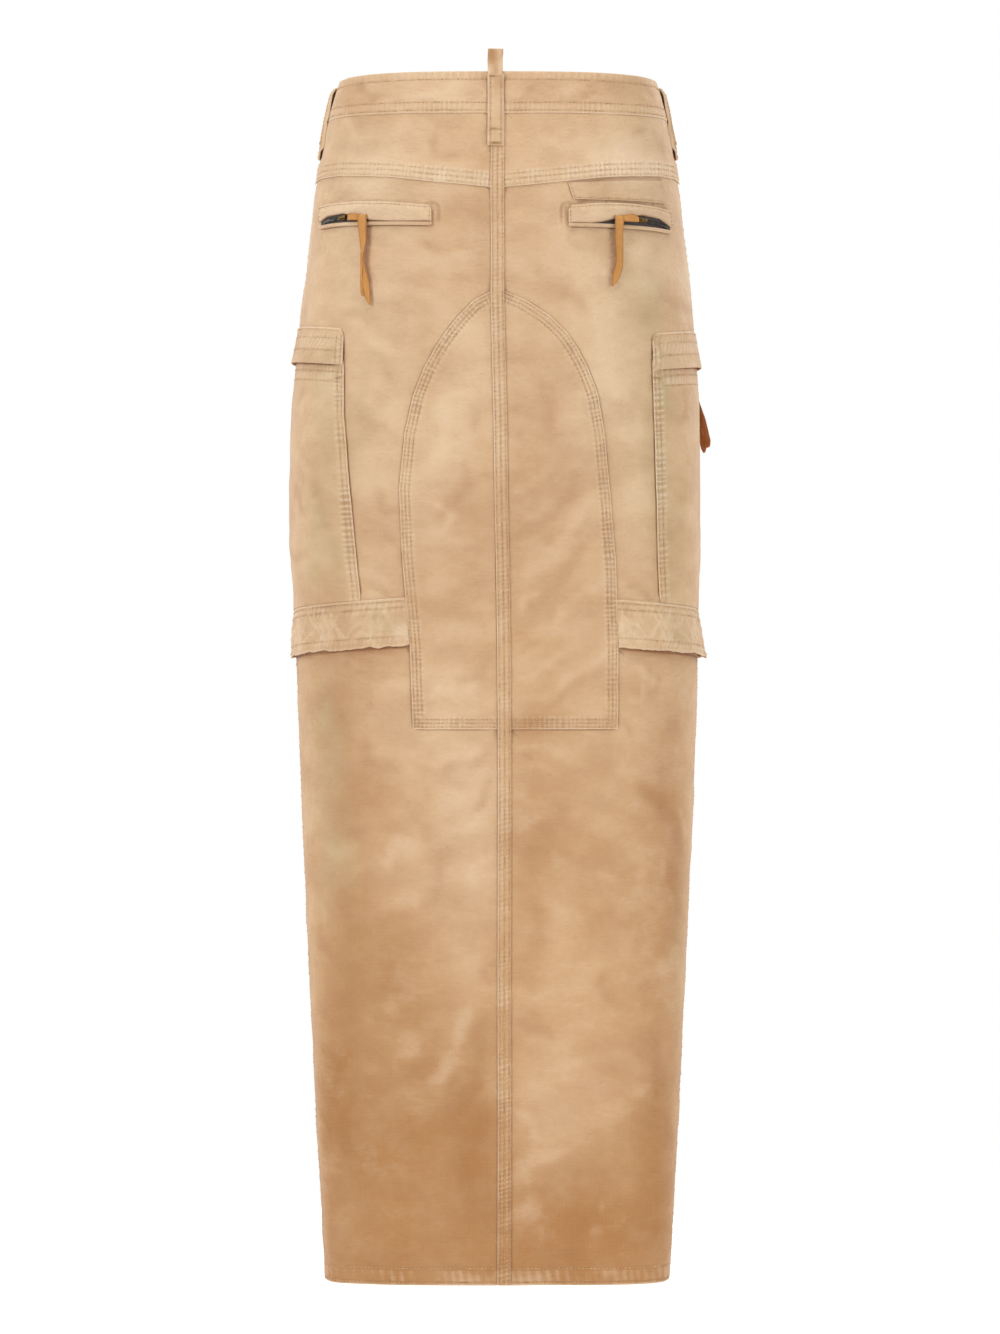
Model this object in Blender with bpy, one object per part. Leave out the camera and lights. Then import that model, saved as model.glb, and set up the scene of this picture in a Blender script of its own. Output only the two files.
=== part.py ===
"""Cargo utility skirt, in the hollow form that it has when worn.

Frame: metres, +Z up. The origin is the middle of the waist opening, level with the waistband's top
edge. The skirt's back faces -Y, and the wearer's right side is +X.

Every piece of cloth is cut from one grid over the skirt's body, so that layers share their facets
and never cross. A place on the body has a `way`, the distance round it from the centre back,
positive to the wearer's right, and a `drop`, the distance below the waist. A `lift` is the height
of a surface off the body. On the grid a place is a column p, 0 at the centre back and growing to
the wearer's right, and a row q, 0 at the waist and growing downwards.
"""

import math
from collections import namedtuple

import bmesh
import bpy
from mathutils import Vector

# Driving dimensions
LENGTH = 1.045  # waist to hem
CLOTH = 0.0012  # canvas
THIN = 0.0010  # tapes, strips and the centre band
BAND_LIFT = 0.0010  # how far the doubled waistband stands above the single cloth
SEAM_GAP = 0.0003  # between pieces
HALF_GAP = SEAM_GAP / 2
HEM_HEIGHT = 0.0125
HEM_CLOTH = 0.0026  # two turns of canvas
YOKE_LAP = 0.0115  # yoke over back panel
SIDE_LAP = 0.0105  # back panel over front panel
LAP_RISE = CLOTH + SEAM_GAP  # what each lap adds to the lift
ON_BODY = SEAM_GAP  # inner lift of a piece that lies on the body
ON_PANEL = ON_BODY + CLOTH + SEAM_GAP  # the same, over a piece that lies on the body

# Sections of the body, one a row. `square` is the exponent of the oval: 2 is an ellipse, and more
# is squarer. `sway` is the sideways shift of the section's middle, and `set_back` its shift to the
# back, where the cloth hangs from the seat.
Section = namedtuple("Section", "drop half_width back front square sway set_back")
SECTIONS = (
    Section(0.000, 0.1388, 0.098, 0.089, 2.85, -0.0018, 0.000),
    Section(0.034, 0.1483, 0.105, 0.094, 2.60, -0.0018, 0.000),
    Section(0.065, 0.1539, 0.112, 0.099, 2.45, -0.0019, 0.000),
    Section(0.100, 0.1592, 0.119, 0.103, 2.40, -0.0024, 0.000),
    Section(0.160, 0.1662, 0.127, 0.108, 2.40, -0.0022, 0.000),
    Section(0.212, 0.1718, 0.130, 0.111, 2.40, -0.0028, 0.000),
    Section(0.300, 0.1745, 0.128, 0.112, 2.40, -0.0038, 0.001),
    Section(0.400, 0.1752, 0.119, 0.110, 2.45, -0.0040, 0.005),
    Section(0.505, 0.1745, 0.106, 0.106, 2.60, -0.0027, 0.010),
    Section(0.600, 0.1713, 0.095, 0.103, 2.70, -0.0022, 0.015),
    Section(0.775, 0.1634, 0.074, 0.096, 3.00, -0.0024, 0.021),
    Section(0.905, 0.1570, 0.060, 0.090, 3.20, -0.0022, 0.024),
    Section(1.045, 0.1490, 0.047, 0.085, 3.40, -0.0024, 0.026),
)

FOLD_RUN_OUT = 1.25  # how far a fold runs, as a share of the way from its top to its foot
FOLD_FADE = 0.35  # share over which it fades in and out
FOLD_SHARPNESS = 1.6

# Soft folds. Each is a trough, or a ridge where `depth` is negative, whose middle line leans from
# `way_top` at `top` to `way_foot` at `foot`. `width` is the distance across one side of it.
Fold = namedtuple("Fold", "top foot way_top way_foot width depth")
FOLDS = (
    # back, below the seat panel
    Fold(0.56, 0.80, -0.030, -0.105, 0.030, 0.0028),
    Fold(0.58, 0.92, -0.008, -0.062, 0.028, -0.0026),
    Fold(0.72, 1.00, -0.012, -0.050, 0.026, 0.0030),
    Fold(0.60, 0.86, 0.120, 0.150, 0.032, 0.0034),
    Fold(0.62, 0.90, 0.040, 0.095, 0.036, -0.0024),
    Fold(0.86, 1.04, 0.098, 0.045, 0.026, 0.0030),
    Fold(0.70, 1.04, -0.150, -0.120, 0.030, 0.0030),
    # seat panel, leaning up to the wearer's right
    Fold(0.34, 0.46, 0.070, 0.015, 0.020, 0.0016),
    Fold(0.42, 0.55, 0.085, 0.020, 0.022, -0.0018),
    Fold(0.30, 0.50, -0.012, -0.066, 0.024, 0.0016),
    # front, thigh to hem
    Fold(0.30, 0.78, 0.440, 0.395, 0.042, 0.0050),
    Fold(0.38, 1.04, -0.410, -0.330, 0.040, 0.0060),
    Fold(0.50, 1.04, 0.350, 0.300, 0.034, 0.0045),
    Fold(0.55, 1.04, -0.330, -0.255, 0.030, 0.0042),
    Fold(0.62, 1.04, 0.405, 0.365, 0.030, -0.0040),
    Fold(0.12, 0.30, -0.400, -0.350, 0.034, 0.0030),
    Fold(0.12, 0.28, 0.385, 0.345, 0.034, 0.0028),
)

# The body's grid: columns from the centre back to the side seam, the side lap, and on to the
# centre front, and rows by the seams that they follow.
BACK_COLUMNS = 14
FRONT_COLUMNS = 10
BODY_ROWS = 20
SIDE = BACK_COLUMNS
LAP_COLUMN = SIDE + 1
CENTRE_FRONT = LAP_COLUMN + FRONT_COLUMNS
WAIST_ROW = 2
RAMP_ROW = 3
YOKE_ROW = 4
PANEL_ROW = 5
HEM_ROW = PANEL_ROW + BODY_ROWS
LAST_ROW = HEM_ROW + 2
HEM_STEP = 0.001  # height of the step where the hem's turned cloth ends
SIDE_WAY = 0.25  # about the distance of the side seam from the centre back
COLUMN_STEP = 0.016  # about the width of a column
ROW_STEP = 0.014  # about the least height of a row at a seam
YOKE_RAMP = 0.012  # over this height the yoke rises onto the back panel

# Drops of the two cross seams by the distance from the centre back
WAIST_SEAM = ((0.0, 0.0362), (0.100, 0.0352), (0.200, 0.0325))
YOKE_SEAM = ((0.0, 0.0905), (0.054, 0.0848), (0.095, 0.0795), (0.150, 0.0752), (0.220, 0.0735))

# Seat panel: the reach of each half from the centre back
SeatRow = namedtuple("SeatRow", "drop left right")
SEAT = (
    SeatRow(0.1985, 0.0196, 0.0245),
    SeatRow(0.2112, 0.0318, 0.0446),
    SeatRow(0.2257, 0.0434, 0.0598),
    SeatRow(0.2400, 0.0528, 0.0700),
    SeatRow(0.2560, 0.0615, 0.0788),
    SeatRow(0.2790, 0.0706, 0.0882),
    SeatRow(0.3120, 0.0778, 0.0944),
    SeatRow(0.3597, 0.0824, 0.0992),
    SeatRow(0.4200, 0.0798, 0.1040),
    SeatRow(0.4913, 0.0745, 0.1048),
    SeatRow(0.5640, 0.0722, 0.1040),
)
SEAT_APEX = 0.1885

# Band of the felled centre back seam, and how it climbs over the yoke lap and the seat panel
SeamRow = namedtuple("SeamRow", "drop left right")
SEAM_BAND = (
    SeamRow(0.0368, -0.0058, 0.0055),
    SeamRow(0.1890, -0.0053, 0.0058),
    SeamRow(0.3000, -0.0015, 0.0096),
    SeamRow(0.4200, 0.0006, 0.0117),
    SeamRow(LENGTH - SEAM_GAP, 0.0003, 0.0117),
)
SEAM_LIFT = (
    (0.0785, ON_BODY),
    (0.0905, ON_PANEL),
    (0.1024, ON_PANEL),
    (0.1120, ON_BODY),
    (0.1780, ON_BODY),
    (0.1870, ON_PANEL),
    (0.5655, ON_PANEL),
    (0.5760, ON_BODY),
)

# Cargo pocket: places down its inner edge, each with the distance from the centre back
PocketRow = namedtuple("PocketRow", "drop left right")
POCKET_EDGE = (
    PocketRow(0.2440, 0.1373, 0.1409),
    PocketRow(0.2955, 0.1361, 0.1437),
    PocketRow(0.3668, 0.1280, 0.1459),
    PocketRow(0.4500, 0.1183, 0.1468),
)
POCKET_REACH = 0.085  # past the side seam
POCKET_TOP = 0.2400
POCKET_PUFF = {"left": 0.0030, "right": 0.0020}
PUFF_MARGIN = 0.25  # share of the pocket over which the puff rises from each edge
FLAP_TOP = 0.2130
FLAP_FOOT = 0.2440
FLAP_SKEW = 0.0075  # how much lower the flap's ends lie than its middle
FLAP_CORNER = 0.007
FLAP_STAND = 0.0030  # how far the free edge stands off at the side seam
FLAP_END_LOSS = 0.75  # share of that which is lost at the flap's ends
FLAP_RAMP = 0.75  # share of the flap's height over which it rises onto the pocket

# Raw-edged band below the pocket
BAND_TOP = 0.4515
BAND_HEIGHT = 0.0405
BAND_SAG = 0.0105  # how much lower it lies at the side seam than at the seat panel
BAND_REACH = 0.095  # past the side seam
BAND_STAND = {"left": 0.0022, "right": 0.0058}  # of the raw edge, at the side seam
BAND_LEAST_STAND = 0.0012
BAND_STAND_REACH = 0.10  # to each side of the seam, where only the least stand is left
BAND_SEWN = 0.3  # share of the band's height that lies flat
BAND_CURL = 1.3

# Zip pockets of the back: each row is a place along the zip, from its inner end outwards
ZipRow = namedtuple("ZipRow", "way top foot piping")
ZIPS = {
    "left": (
        ZipRow(0.0562, 0.1172, 0.1302, 0.1311),
        ZipRow(0.0935, 0.1130, 0.1264, 0.1298),
        ZipRow(0.1222, 0.1113, 0.1229, 0.1288),
        ZipRow(0.1405, 0.1109, 0.1208, 0.1283),
        ZipRow(0.1610, 0.1110, 0.1215, 0.1281),
        ZipRow(0.1775, 0.1116, 0.1262, 0.1283),
    ),
    "right": (
        ZipRow(0.0610, 0.1172, 0.1310, 0.1320),
        ZipRow(0.0895, 0.1142, 0.1262, 0.1320),
        ZipRow(0.1090, 0.1136, 0.1241, 0.1321),
        ZipRow(0.1295, 0.1138, 0.1228, 0.1322),
        ZipRow(0.1505, 0.1148, 0.1243, 0.1327),
        ZipRow(0.1700, 0.1162, 0.1312, 0.1334),
    ),
}
PIPING_HEIGHT = 0.0032
TAPE_INSET = 0.002  # how far the tape ends inside the welt's ends and under the piping
TAPE_UNDER = 0.005  # how far below the welt's top edge it begins
ON_TAPE = ON_BODY + THIN + SEAM_GAP

# Patch above the right zip pocket
PATCH = ((0.0610, 0.0975), (0.0655, 0.1112), (0.1630, 0.1102), (0.1600, 0.0905))

# Belt loops. `top_seat` and `foot_seat` are the inner lifts of the ends that are sewn down.
LOOP_WIDTH = 0.0135
LOOP_THICK = 0.0018
LOOP_TOP = 0.0035
LOOP_FOOT = 0.0652
LOOP_STAND = 0.0045  # inner lift of the free middle
LOOP_DROPS = (LOOP_TOP, 0.009, 0.020, 0.034, 0.050, 0.060, LOOP_FOOT)
LOOP_FALL = 0.001  # how much nearer the body the loop is below the waistband
LOOP_FOOT_SLACK = 0.0008
Loop = namedtuple("Loop", "name column shift top_seat foot_seat")
LOOPS = (
    Loop("belt_loop_back", 0, -0.0018, 0.0027, 0.0017),
    Loop("belt_loop_side_left", -SIDE, 0.002, 0.0014, 0.0027),
    Loop("belt_loop_side_right", SIDE, -0.002, 0.0014, 0.0027),
    Loop("belt_loop_front_left", -CENTRE_FRONT + 4, 0.0, 0.0014, 0.0004),
    Loop("belt_loop_front_right", CENTRE_FRONT - 4, 0.0, 0.0014, 0.0004),
)

# Waistband lap at the centre front, in columns, and the fly below it
BAND_OVERLAP = 2
UNDERLAP = BAND_LIFT + CLOTH + SEAM_GAP  # how far the lower end steps in
FLY_WIDTH = 0.036
FLY_FOOT = 0.205
FLY_EDGE_DROPS = (0.08, 0.12, 0.16)
FLY_CURVE = 0.045  # height of its rounded foot
BUTTON_RADIUS = 0.0085
BUTTON_THICK = 0.0028
BUTTON_TOP = 0.8  # radius of its outer face as a share of its back's

# Strips of suede and the hanger tab. `lean` turns the width from level towards upright, and
# `turn` twists it about the strip's own line, both in degrees.
Station = namedtuple("Station", "way drop lift half_width lean turn")
SUEDE = 0.0016
ZIP_PULL_LEFT = (
    Station(-0.1402, 0.1246, 0.0051, 0.0028, 90, 0),
    Station(-0.1300, 0.1246, 0.0056, 0.0031, 90, 0),
    Station(-0.1225, 0.1257, 0.0054, 0.0036, 75, 0),
    Station(-0.1180, 0.1300, 0.0054, 0.0040, 30, 0),
    Station(-0.1166, 0.1370, 0.0050, 0.0042, 0, 5),
    Station(-0.1165, 0.1500, 0.0044, 0.0043, 0, 25),
    Station(-0.1166, 0.1620, 0.0050, 0.0040, 0, 62),
    Station(-0.1168, 0.1740, 0.0044, 0.0040, 0, 35),
    Station(-0.1160, 0.1880, 0.0036, 0.0040, -6, 8),
    Station(-0.1140, 0.1960, 0.0034, 0.0034, -12, 0),
    Station(-0.1112, 0.2005, 0.0033, 0.0014, -20, 0),
)
ZIP_PULL_RIGHT = (
    Station(0.1300, 0.1270, 0.0051, 0.0028, -90, 0),
    Station(0.1190, 0.1264, 0.0056, 0.0031, -90, 0),
    Station(0.1110, 0.1270, 0.0054, 0.0038, -70, 0),
    Station(0.1066, 0.1310, 0.0054, 0.0043, -25, 0),
    Station(0.1052, 0.1380, 0.0050, 0.0045, 0, 0),
    Station(0.1056, 0.1500, 0.0042, 0.0045, 0, -15),
    Station(0.1062, 0.1620, 0.0040, 0.0043, 4, -25),
    Station(0.1052, 0.1720, 0.0036, 0.0042, 16, -10),
    Station(0.1024, 0.1800, 0.0034, 0.0032, 28, 0),
    Station(0.0998, 0.1850, 0.0033, 0.0013, 35, 0),
)
SIDE_PULL = (
    Station(0.2700, 0.2640, 0.0045, 0.0040, 0, 0),
    Station(0.2690, 0.2740, 0.0055, 0.0042, 0, 0),
    Station(0.2660, 0.2880, 0.0080, 0.0044, -6, -12),
    Station(0.2620, 0.3060, 0.0120, 0.0046, -10, -28),
    Station(0.2590, 0.3200, 0.0142, 0.0046, -12, -34),
    Station(0.2575, 0.3262, 0.0150, 0.0034, -12, -34),
)
HANGER_WAY = -0.0022
HANGER_HALF = 0.0064
HANGER_TAB = (
    Station(HANGER_WAY, 0.0200, -0.0022, HANGER_HALF, 0, 0),
    Station(HANGER_WAY, 0.0010, -0.0024, HANGER_HALF, 0, 0),
    Station(HANGER_WAY, -0.0020, -0.0023, HANGER_HALF, 0, 0),
    Station(HANGER_WAY, -0.0080, -0.0010, HANGER_HALF, 0, 0),
    Station(HANGER_WAY, -0.0190, -0.0008, HANGER_HALF, 0, 0),
    Station(HANGER_WAY, -0.0207, -0.0004, HANGER_HALF, 0, 0),
    Station(HANGER_WAY, -0.0212, 0.0004, HANGER_HALF, 0, 0),
    Station(HANGER_WAY, -0.0207, 0.0012, HANGER_HALF, 0, 0),
    Station(HANGER_WAY, -0.0190, 0.0016, HANGER_HALF, 0, 0),
    Station(HANGER_WAY, -0.0080, 0.0015, HANGER_HALF, 0, 0),
    Station(HANGER_WAY, -0.0020, 0.0019, HANGER_HALF, 0, 0),
    Station(HANGER_WAY, 0.0100, 0.0019, HANGER_HALF, 0, 0),
)
SLIDER_SIZE = (0.0090, 0.0024, 0.0050)  # along the zip, off the body, across the zip
SLIDER_ROUND = 0.0006
SLIDERS = {"left": (-0.1412, 0.1246), "right": (0.1312, 0.1272)}

SIGN = {"left": -1, "right": 1}
OUTLINE_STEPS = 360  # samples of half a section
NEAR = 0.004  # half the distance over which a direction along the body is taken
SHARP_EDGE = 40  # degrees


# The body as a smooth surface


def between(table, x):
    """Straight interpolation in rows of (x, value), held at the ends."""
    if x <= table[0][0]:
        return table[0][1]
    for (x0, y0), (x1, y1) in zip(table, table[1:]):
        if x <= x1:
            return y0 + (y1 - y0) * (x - x0) / (x1 - x0)
    return table[-1][1]


def smooth(x):
    """0 to 1 with level ends."""
    x = min(max(x, 0.0), 1.0)
    return x * x * (3 - 2 * x)


def slopes(values, places):
    """The slope at each place, from its neighbours."""
    last = len(places) - 1
    found = []
    for k in range(len(places)):
        before, after = max(k - 1, 0), min(k + 1, last)
        found.append((values[after] - values[before]) / (places[after] - places[before]))
    return found


def section_at(drop):
    """The section at this drop, by cubic curves through SECTIONS."""
    drops = [row.drop for row in SECTIONS]
    drop = min(max(drop, drops[0]), drops[-1])
    k = max(n for n in range(len(drops) - 1) if drops[n] <= drop)
    height = drops[k + 1] - drops[k]
    t = (drop - drops[k]) / height
    shape = (2 * t**3 - 3 * t**2 + 1, t**3 - 2 * t**2 + t, 3 * t**2 - 2 * t**3, t**3 - t**2)
    values = [drop]
    for field in range(1, len(Section._fields)):
        column = [row[field] for row in SECTIONS]
        slope = slopes(column, drops)
        values.append(
            shape[0] * column[k]
            + shape[1] * height * slope[k]
            + shape[2] * column[k + 1]
            + shape[3] * height * slope[k + 1]
        )
    return Section(*values)


def half_outline(drop):
    """Points (way, x, y) of half a section, centre back to centre front, about its own middle."""
    section = section_at(drop)
    power = 2 / section.square
    points = []
    way = 0.0
    for k in range(OUTLINE_STEPS + 1):
        angle = math.pi * k / OUTLINE_STEPS
        depth = section.back if angle < math.pi / 2 else section.front
        x = section.half_width * abs(math.sin(angle)) ** power
        y = -math.copysign(depth * abs(math.cos(angle)) ** power, math.cos(angle))
        if points:
            way += math.hypot(x - points[-1][1], y - points[-1][2])
        points.append((way, x, y))
    return points


def fold_lift(way, drop):
    """How far the folds move the body out at this place."""
    lift = 0.0
    for fold in FOLDS:
        along = (drop - fold.top) / (fold.foot - fold.top)
        if not 0 < along < FOLD_RUN_OUT:
            continue
        middle = fold.way_top + (fold.way_foot - fold.way_top) * along
        across = (way - middle) / fold.width
        fade = smooth(along / FOLD_FADE) * smooth((FOLD_RUN_OUT - along) / FOLD_FADE)
        lift -= fold.depth * fade * math.exp(-across * across * FOLD_SHARPNESS)
    return lift


# The body's grid


def row_drop(row, way):
    """The drop of a row where it is this far round from the centre back."""
    way = abs(way)
    waist = between(WAIST_SEAM, way)
    yoke = between(YOKE_SEAM, way)
    upper = (0.0, waist / 2, waist, yoke - YOKE_RAMP, yoke, yoke + YOKE_LAP)
    if row <= PANEL_ROW:
        return upper[row]
    hem_top = LENGTH - HEM_HEIGHT
    if row <= HEM_ROW:
        return upper[-1] + (hem_top - upper[-1]) * (row - PANEL_ROW) / BODY_ROWS
    return (hem_top + HEM_STEP, LENGTH)[row - HEM_ROW - 1]


def column_way(column, side, half):
    """The way of a column on a section whose side seam and centre front lie at these ways."""
    if column <= SIDE:
        return side * column / SIDE
    start = side + SIDE_LAP
    return start + (half - start) * (column - LAP_COLUMN) / FRONT_COLUMNS


def point_on(points, way):
    """(x, y) at this way on a half outline, and the level direction along it there."""
    k = 1
    while k < len(points) - 1 and points[k][0] < way:
        k += 1
    (w0, x0, y0), (w1, x1, y1) = points[k - 1], points[k]
    t = (way - w0) / (w1 - w0)
    along = Vector((x1 - x0, y1 - y0, 0)).normalized()
    return x0 + (x1 - x0) * t, y0 + (y1 - y0) * t, along


Node = namedtuple("Node", "point normal way drop")


def body_nodes():
    """The grid's nodes as {(column, row): Node}, columns from centre front round to centre front."""
    points = {}
    outlines = {}
    for column in range(CENTRE_FRONT + 1):
        for row in range(LAST_ROW + 1):
            way = SIDE_WAY * column / SIDE
            for _ in range(3):
                key = round(row_drop(row, way), 5)
                if key not in outlines:
                    outlines[key] = half_outline(key)
                outline = outlines[key]
                way = column_way(column, outline[OUTLINE_STEPS // 2][0], outline[-1][0])
            x, y, along = point_on(outline, way)
            section = section_at(key)
            for sign in {1, -1 if column else 1}:
                out = Vector((along.y, -along.x, 0))
                lift = fold_lift(sign * way, key)
                place = Vector((x, y, 0)) + out * lift
                point = Vector((sign * place.x + section.sway, place.y - section.set_back, -key))
                points[sign * column, row] = (point, sign * way, key)
    nodes = {}
    last = CENTRE_FRONT
    for (column, row), (point, way, drop) in points.items():
        after = points[column + 1 if column < last else 1 - last, row][0]
        before = points[column - 1 if column > -last else last - 1, row][0]
        below = points[column, min(row + 1, LAST_ROW)][0]
        above = points[column, max(row - 1, 0)][0]
        normal = (after - before).cross(above - below).normalized()
        nodes[column, row] = Node(point, normal, way, drop)
    for row in range(LAST_ROW + 1):
        seam = (nodes[last, row].normal + nodes[-last, row].normal).normalized()
        for column in (last, -last):
            nodes[column, row] = nodes[column, row]._replace(normal=seam)
    return nodes


NODES = body_nodes()


def on_grid(p, q):
    """The Node at a place between the grid's nodes, on the facet there.

    Each cell is two triangles, split from its upper low-column corner to the opposite one.
    """
    wrapped = p
    if p > CENTRE_FRONT:
        wrapped = p - 2 * CENTRE_FRONT
    if p < -CENTRE_FRONT:
        wrapped = p + 2 * CENTRE_FRONT
    column = min(max(math.floor(wrapped), -CENTRE_FRONT), CENTRE_FRONT - 1)
    row = min(max(math.floor(q), 0), LAST_ROW - 1)
    right, down = wrapped - column, q - row
    corner, opposite = NODES[column, row], NODES[column + 1, row + 1]
    if right > down:
        third = NODES[column + 1, row]
        shares = (1 - right, right - down, down)
    else:
        third = NODES[column, row + 1]
        shares = (1 - down, down - right, right)
    parts = list(zip(shares, (corner, third, opposite)))
    return Node(
        sum((share * node.point for share, node in parts), Vector()),
        sum((share * node.normal for share, node in parts), Vector()),
        sum(share * node.way for share, node in parts),
        sum(share * node.drop for share, node in parts),
    )


def index_of(values, wanted):
    """The place of a value in a rising list, as a fraction of its steps."""
    for k in range(len(values) - 2):
        if wanted < values[k + 1]:
            break
    else:
        k = len(values) - 2
    return k + (wanted - values[k]) / (values[k + 1] - values[k])


def to_grid(way, drop):
    """The grid place (p, q) of a way and a drop."""
    p, q = 0.0, 0.0
    for _ in range(5):
        q = index_of([on_grid(p, row).drop for row in range(LAST_ROW + 1)], drop)
        q = min(max(q, 0.0), LAST_ROW)
        ways = [on_grid(p_row, q).way for p_row in range(-CENTRE_FRONT, CENTRE_FRONT + 1)]
        p = index_of(ways, way) - CENTRE_FRONT
    return p, q


def place(way, drop, lift):
    """The point at this lift. Above the waist the body goes straight up."""
    node = on_grid(*to_grid(way, max(drop, 0.0)))
    return node.point + node.normal * lift + Vector((0, 0, max(-drop, 0.0)))


def seam_way(column, drop):
    """The way of a column at this drop."""
    return on_grid(column, to_grid(SIDE_WAY * column / SIDE, drop)[1]).way


def side_way(drop):
    return seam_way(SIDE, drop)


# Lifts of what the pieces lie on


def side_lap_lift(p):
    """The rise of the back panel over the front panel at the side seam."""
    return between(((SIDE - 1, 0.0), (SIDE, LAP_RISE), (LAP_COLUMN, LAP_RISE)), abs(p))


def over_side_lap(p):
    """side_lap_lift, and the slope back down to the front panel for what lies across the lap."""
    return between(((LAP_COLUMN, side_lap_lift(p)), (LAP_COLUMN + 1, 0.0)), abs(p))


def yoke_lap_lift(q):
    """The rise of the yoke over the back panel."""
    return between(((RAMP_ROW, 0.0), (YOKE_ROW, LAP_RISE)), q)


# Cutting pieces from the grid and giving them walls


def flat_grid(low, high):
    """Flat triangles, split as on_grid splits each cell, from one grid place to another."""
    bm = bmesh.new()
    columns = range(math.floor(low[0]), math.ceil(high[0]) + 1)
    rows = range(max(math.floor(low[1]), 0), min(math.ceil(high[1]), LAST_ROW) + 1)
    verts = {(p, q): bm.verts.new((p, q, 0)) for p in columns for q in rows}
    for p in columns[:-1]:
        for q in rows[:-1]:
            a, b = verts[p, q], verts[p + 1, q]
            c, d = verts[p + 1, q + 1], verts[p, q + 1]
            bm.faces.new((a, b, c))
            bm.faces.new((a, c, d))
    return bm


def cut_along(bm, line):
    """Cuts the flat faces that each stretch of this line of grid places runs through."""
    margin = 1e-4
    for a, b in zip(line, line[1:]):
        low = (min(a[0], b[0]) - margin, min(a[1], b[1]) - margin)
        high = (max(a[0], b[0]) + margin, max(a[1], b[1]) + margin)
        near = [
            face
            for face in bm.faces
            if max(v.co.x for v in face.verts) >= low[0]
            and min(v.co.x for v in face.verts) <= high[0]
            and max(v.co.y for v in face.verts) >= low[1]
            and min(v.co.y for v in face.verts) <= high[1]
        ]
        edges = {edge for face in near for edge in face.edges}
        verts = {vert for face in near for vert in face.verts}
        bmesh.ops.bisect_plane(
            bm,
            geom=near + list(edges) + list(verts),
            dist=1e-3,
            plane_co=(a[0], a[1], 0),
            plane_no=(b[1] - a[1], a[0] - b[0], 0),
        )


def inside(outline, x, y):
    """Whether a flat point lies in a closed outline."""
    found = False
    for (x0, y0), (x1, y1) in zip(outline, outline[1:] + outline[:1]):
        if (y0 > y) != (y1 > y) and x < x0 + (y - y0) / (y1 - y0) * (x1 - x0):
            found = not found
    return found


def cut_out(outline, creases=()):
    """The flat piece inside an outline of grid places, with extra edges along each crease."""
    low = [min(point[k] for point in outline) for k in (0, 1)]
    high = [max(point[k] for point in outline) for k in (0, 1)]
    bm = flat_grid(low, high)
    cut_along(bm, outline + outline[:1])
    for crease in creases:
        cut_along(bm, crease)
    outer = []
    for face in bm.faces:
        middle = face.calc_center_median()
        if not inside(outline, middle.x, middle.y):
            outer.append(face)
    bmesh.ops.delete(bm, geom=outer, context="FACES")
    bmesh.ops.dissolve_degenerate(bm, dist=2e-3, edges=bm.edges[:])
    bmesh.ops.triangulate(bm, faces=[face for face in bm.faces if len(face.verts) > 3])
    return bm


def finish(name, bm, material):
    """The named object of a closed mesh, with this material."""
    bmesh.ops.recalc_face_normals(bm, faces=bm.faces[:])
    if bm.calc_volume(signed=True) < 0:
        bmesh.ops.reverse_faces(bm, faces=bm.faces[:])
    mesh = bpy.data.meshes.new(name)
    bm.to_mesh(mesh)
    bm.free()
    mesh.shade_smooth()
    mesh.set_sharp_from_angle(angle=math.radians(SHARP_EDGE))
    mesh.materials.append(material)
    made = bpy.data.objects.new(name, mesh)
    bpy.context.scene.collection.objects.link(made)
    return made


def cloth(name, bm, inner, outer, material):
    """A wall over a flat piece.

    `inner` and `outer` give the lifts of its two faces from a grid place and its Node.
    """
    edges = [edge for edge in bm.edges if len(edge.link_faces) == 1]
    nodes = {vert: on_grid(vert.co.x, vert.co.y) for vert in bm.verts}
    places = {vert: (vert.co.x, vert.co.y) for vert in bm.verts}
    faces = bm.faces[:]
    twins = {}
    for vert, node in nodes.items():
        p, q = places[vert]
        twins[vert] = bm.verts.new(node.point + node.normal * inner(p, q, node))
        vert.co = node.point + node.normal * outer(p, q, node)
    for face in faces:
        bm.faces.new([twins[vert] for vert in reversed(face.verts)])
    for edge in edges:
        a, b = edge.verts
        bm.faces.new((a, b, twins[b], twins[a]))
    return finish(name, bm, material)


def whole_cells(left, right, top, foot):
    """The flat piece of these whole columns and rows, drawn in by half a gap at its seams."""
    column_gap = HALF_GAP / COLUMN_STEP
    row_gap = HALF_GAP / ROW_STEP
    bm = flat_grid((left, top), (right, foot))
    for vert in bm.verts:
        p, q, _ = vert.co
        p = min(max(p, left + column_gap), right - column_gap)
        low = top + row_gap if top > 0 else top
        high = foot - row_gap if foot < LAST_ROW else foot
        vert.co = (p, min(max(q, low), high), 0)
    return bm


def grid_line(points, sign=1):
    """Grid places of points in (way, drop), mirrored to the wearer's left where sign is -1."""
    return [to_grid(sign * way, drop) for way, drop in points]


def shaped(outline, sign=1, creases=()):
    """The flat piece of an outline in (way, drop), with extra edges along creases."""
    return cut_out(grid_line(outline, sign), [grid_line(crease, sign) for crease in creases])


def lapped(lift, thickness):
    """The inner and outer lifts of a wall that has this inner lift."""
    return lift, lambda p, q, node: lift(p, q, node) + thickness


# Materials


def material(name, colour, roughness, metallic=0.0):
    made = bpy.data.materials.new(name)
    made.use_nodes = True
    shader = made.node_tree.nodes["Principled BSDF"]
    shader.inputs["Base Color"].default_value = (*colour, 1)
    shader.inputs["Roughness"].default_value = roughness
    shader.inputs["Metallic"].default_value = metallic
    return made


# Pieces of the body


def panel_thickness(q, lap):
    """Thickness of a body panel, more where the hem is turned up. `lap` is 1 over the side lap."""
    return CLOTH + (1 - lap) * between(((HEM_ROW, 0.0), (HEM_ROW + 1, HEM_CLOTH - CLOTH)), q)


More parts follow.
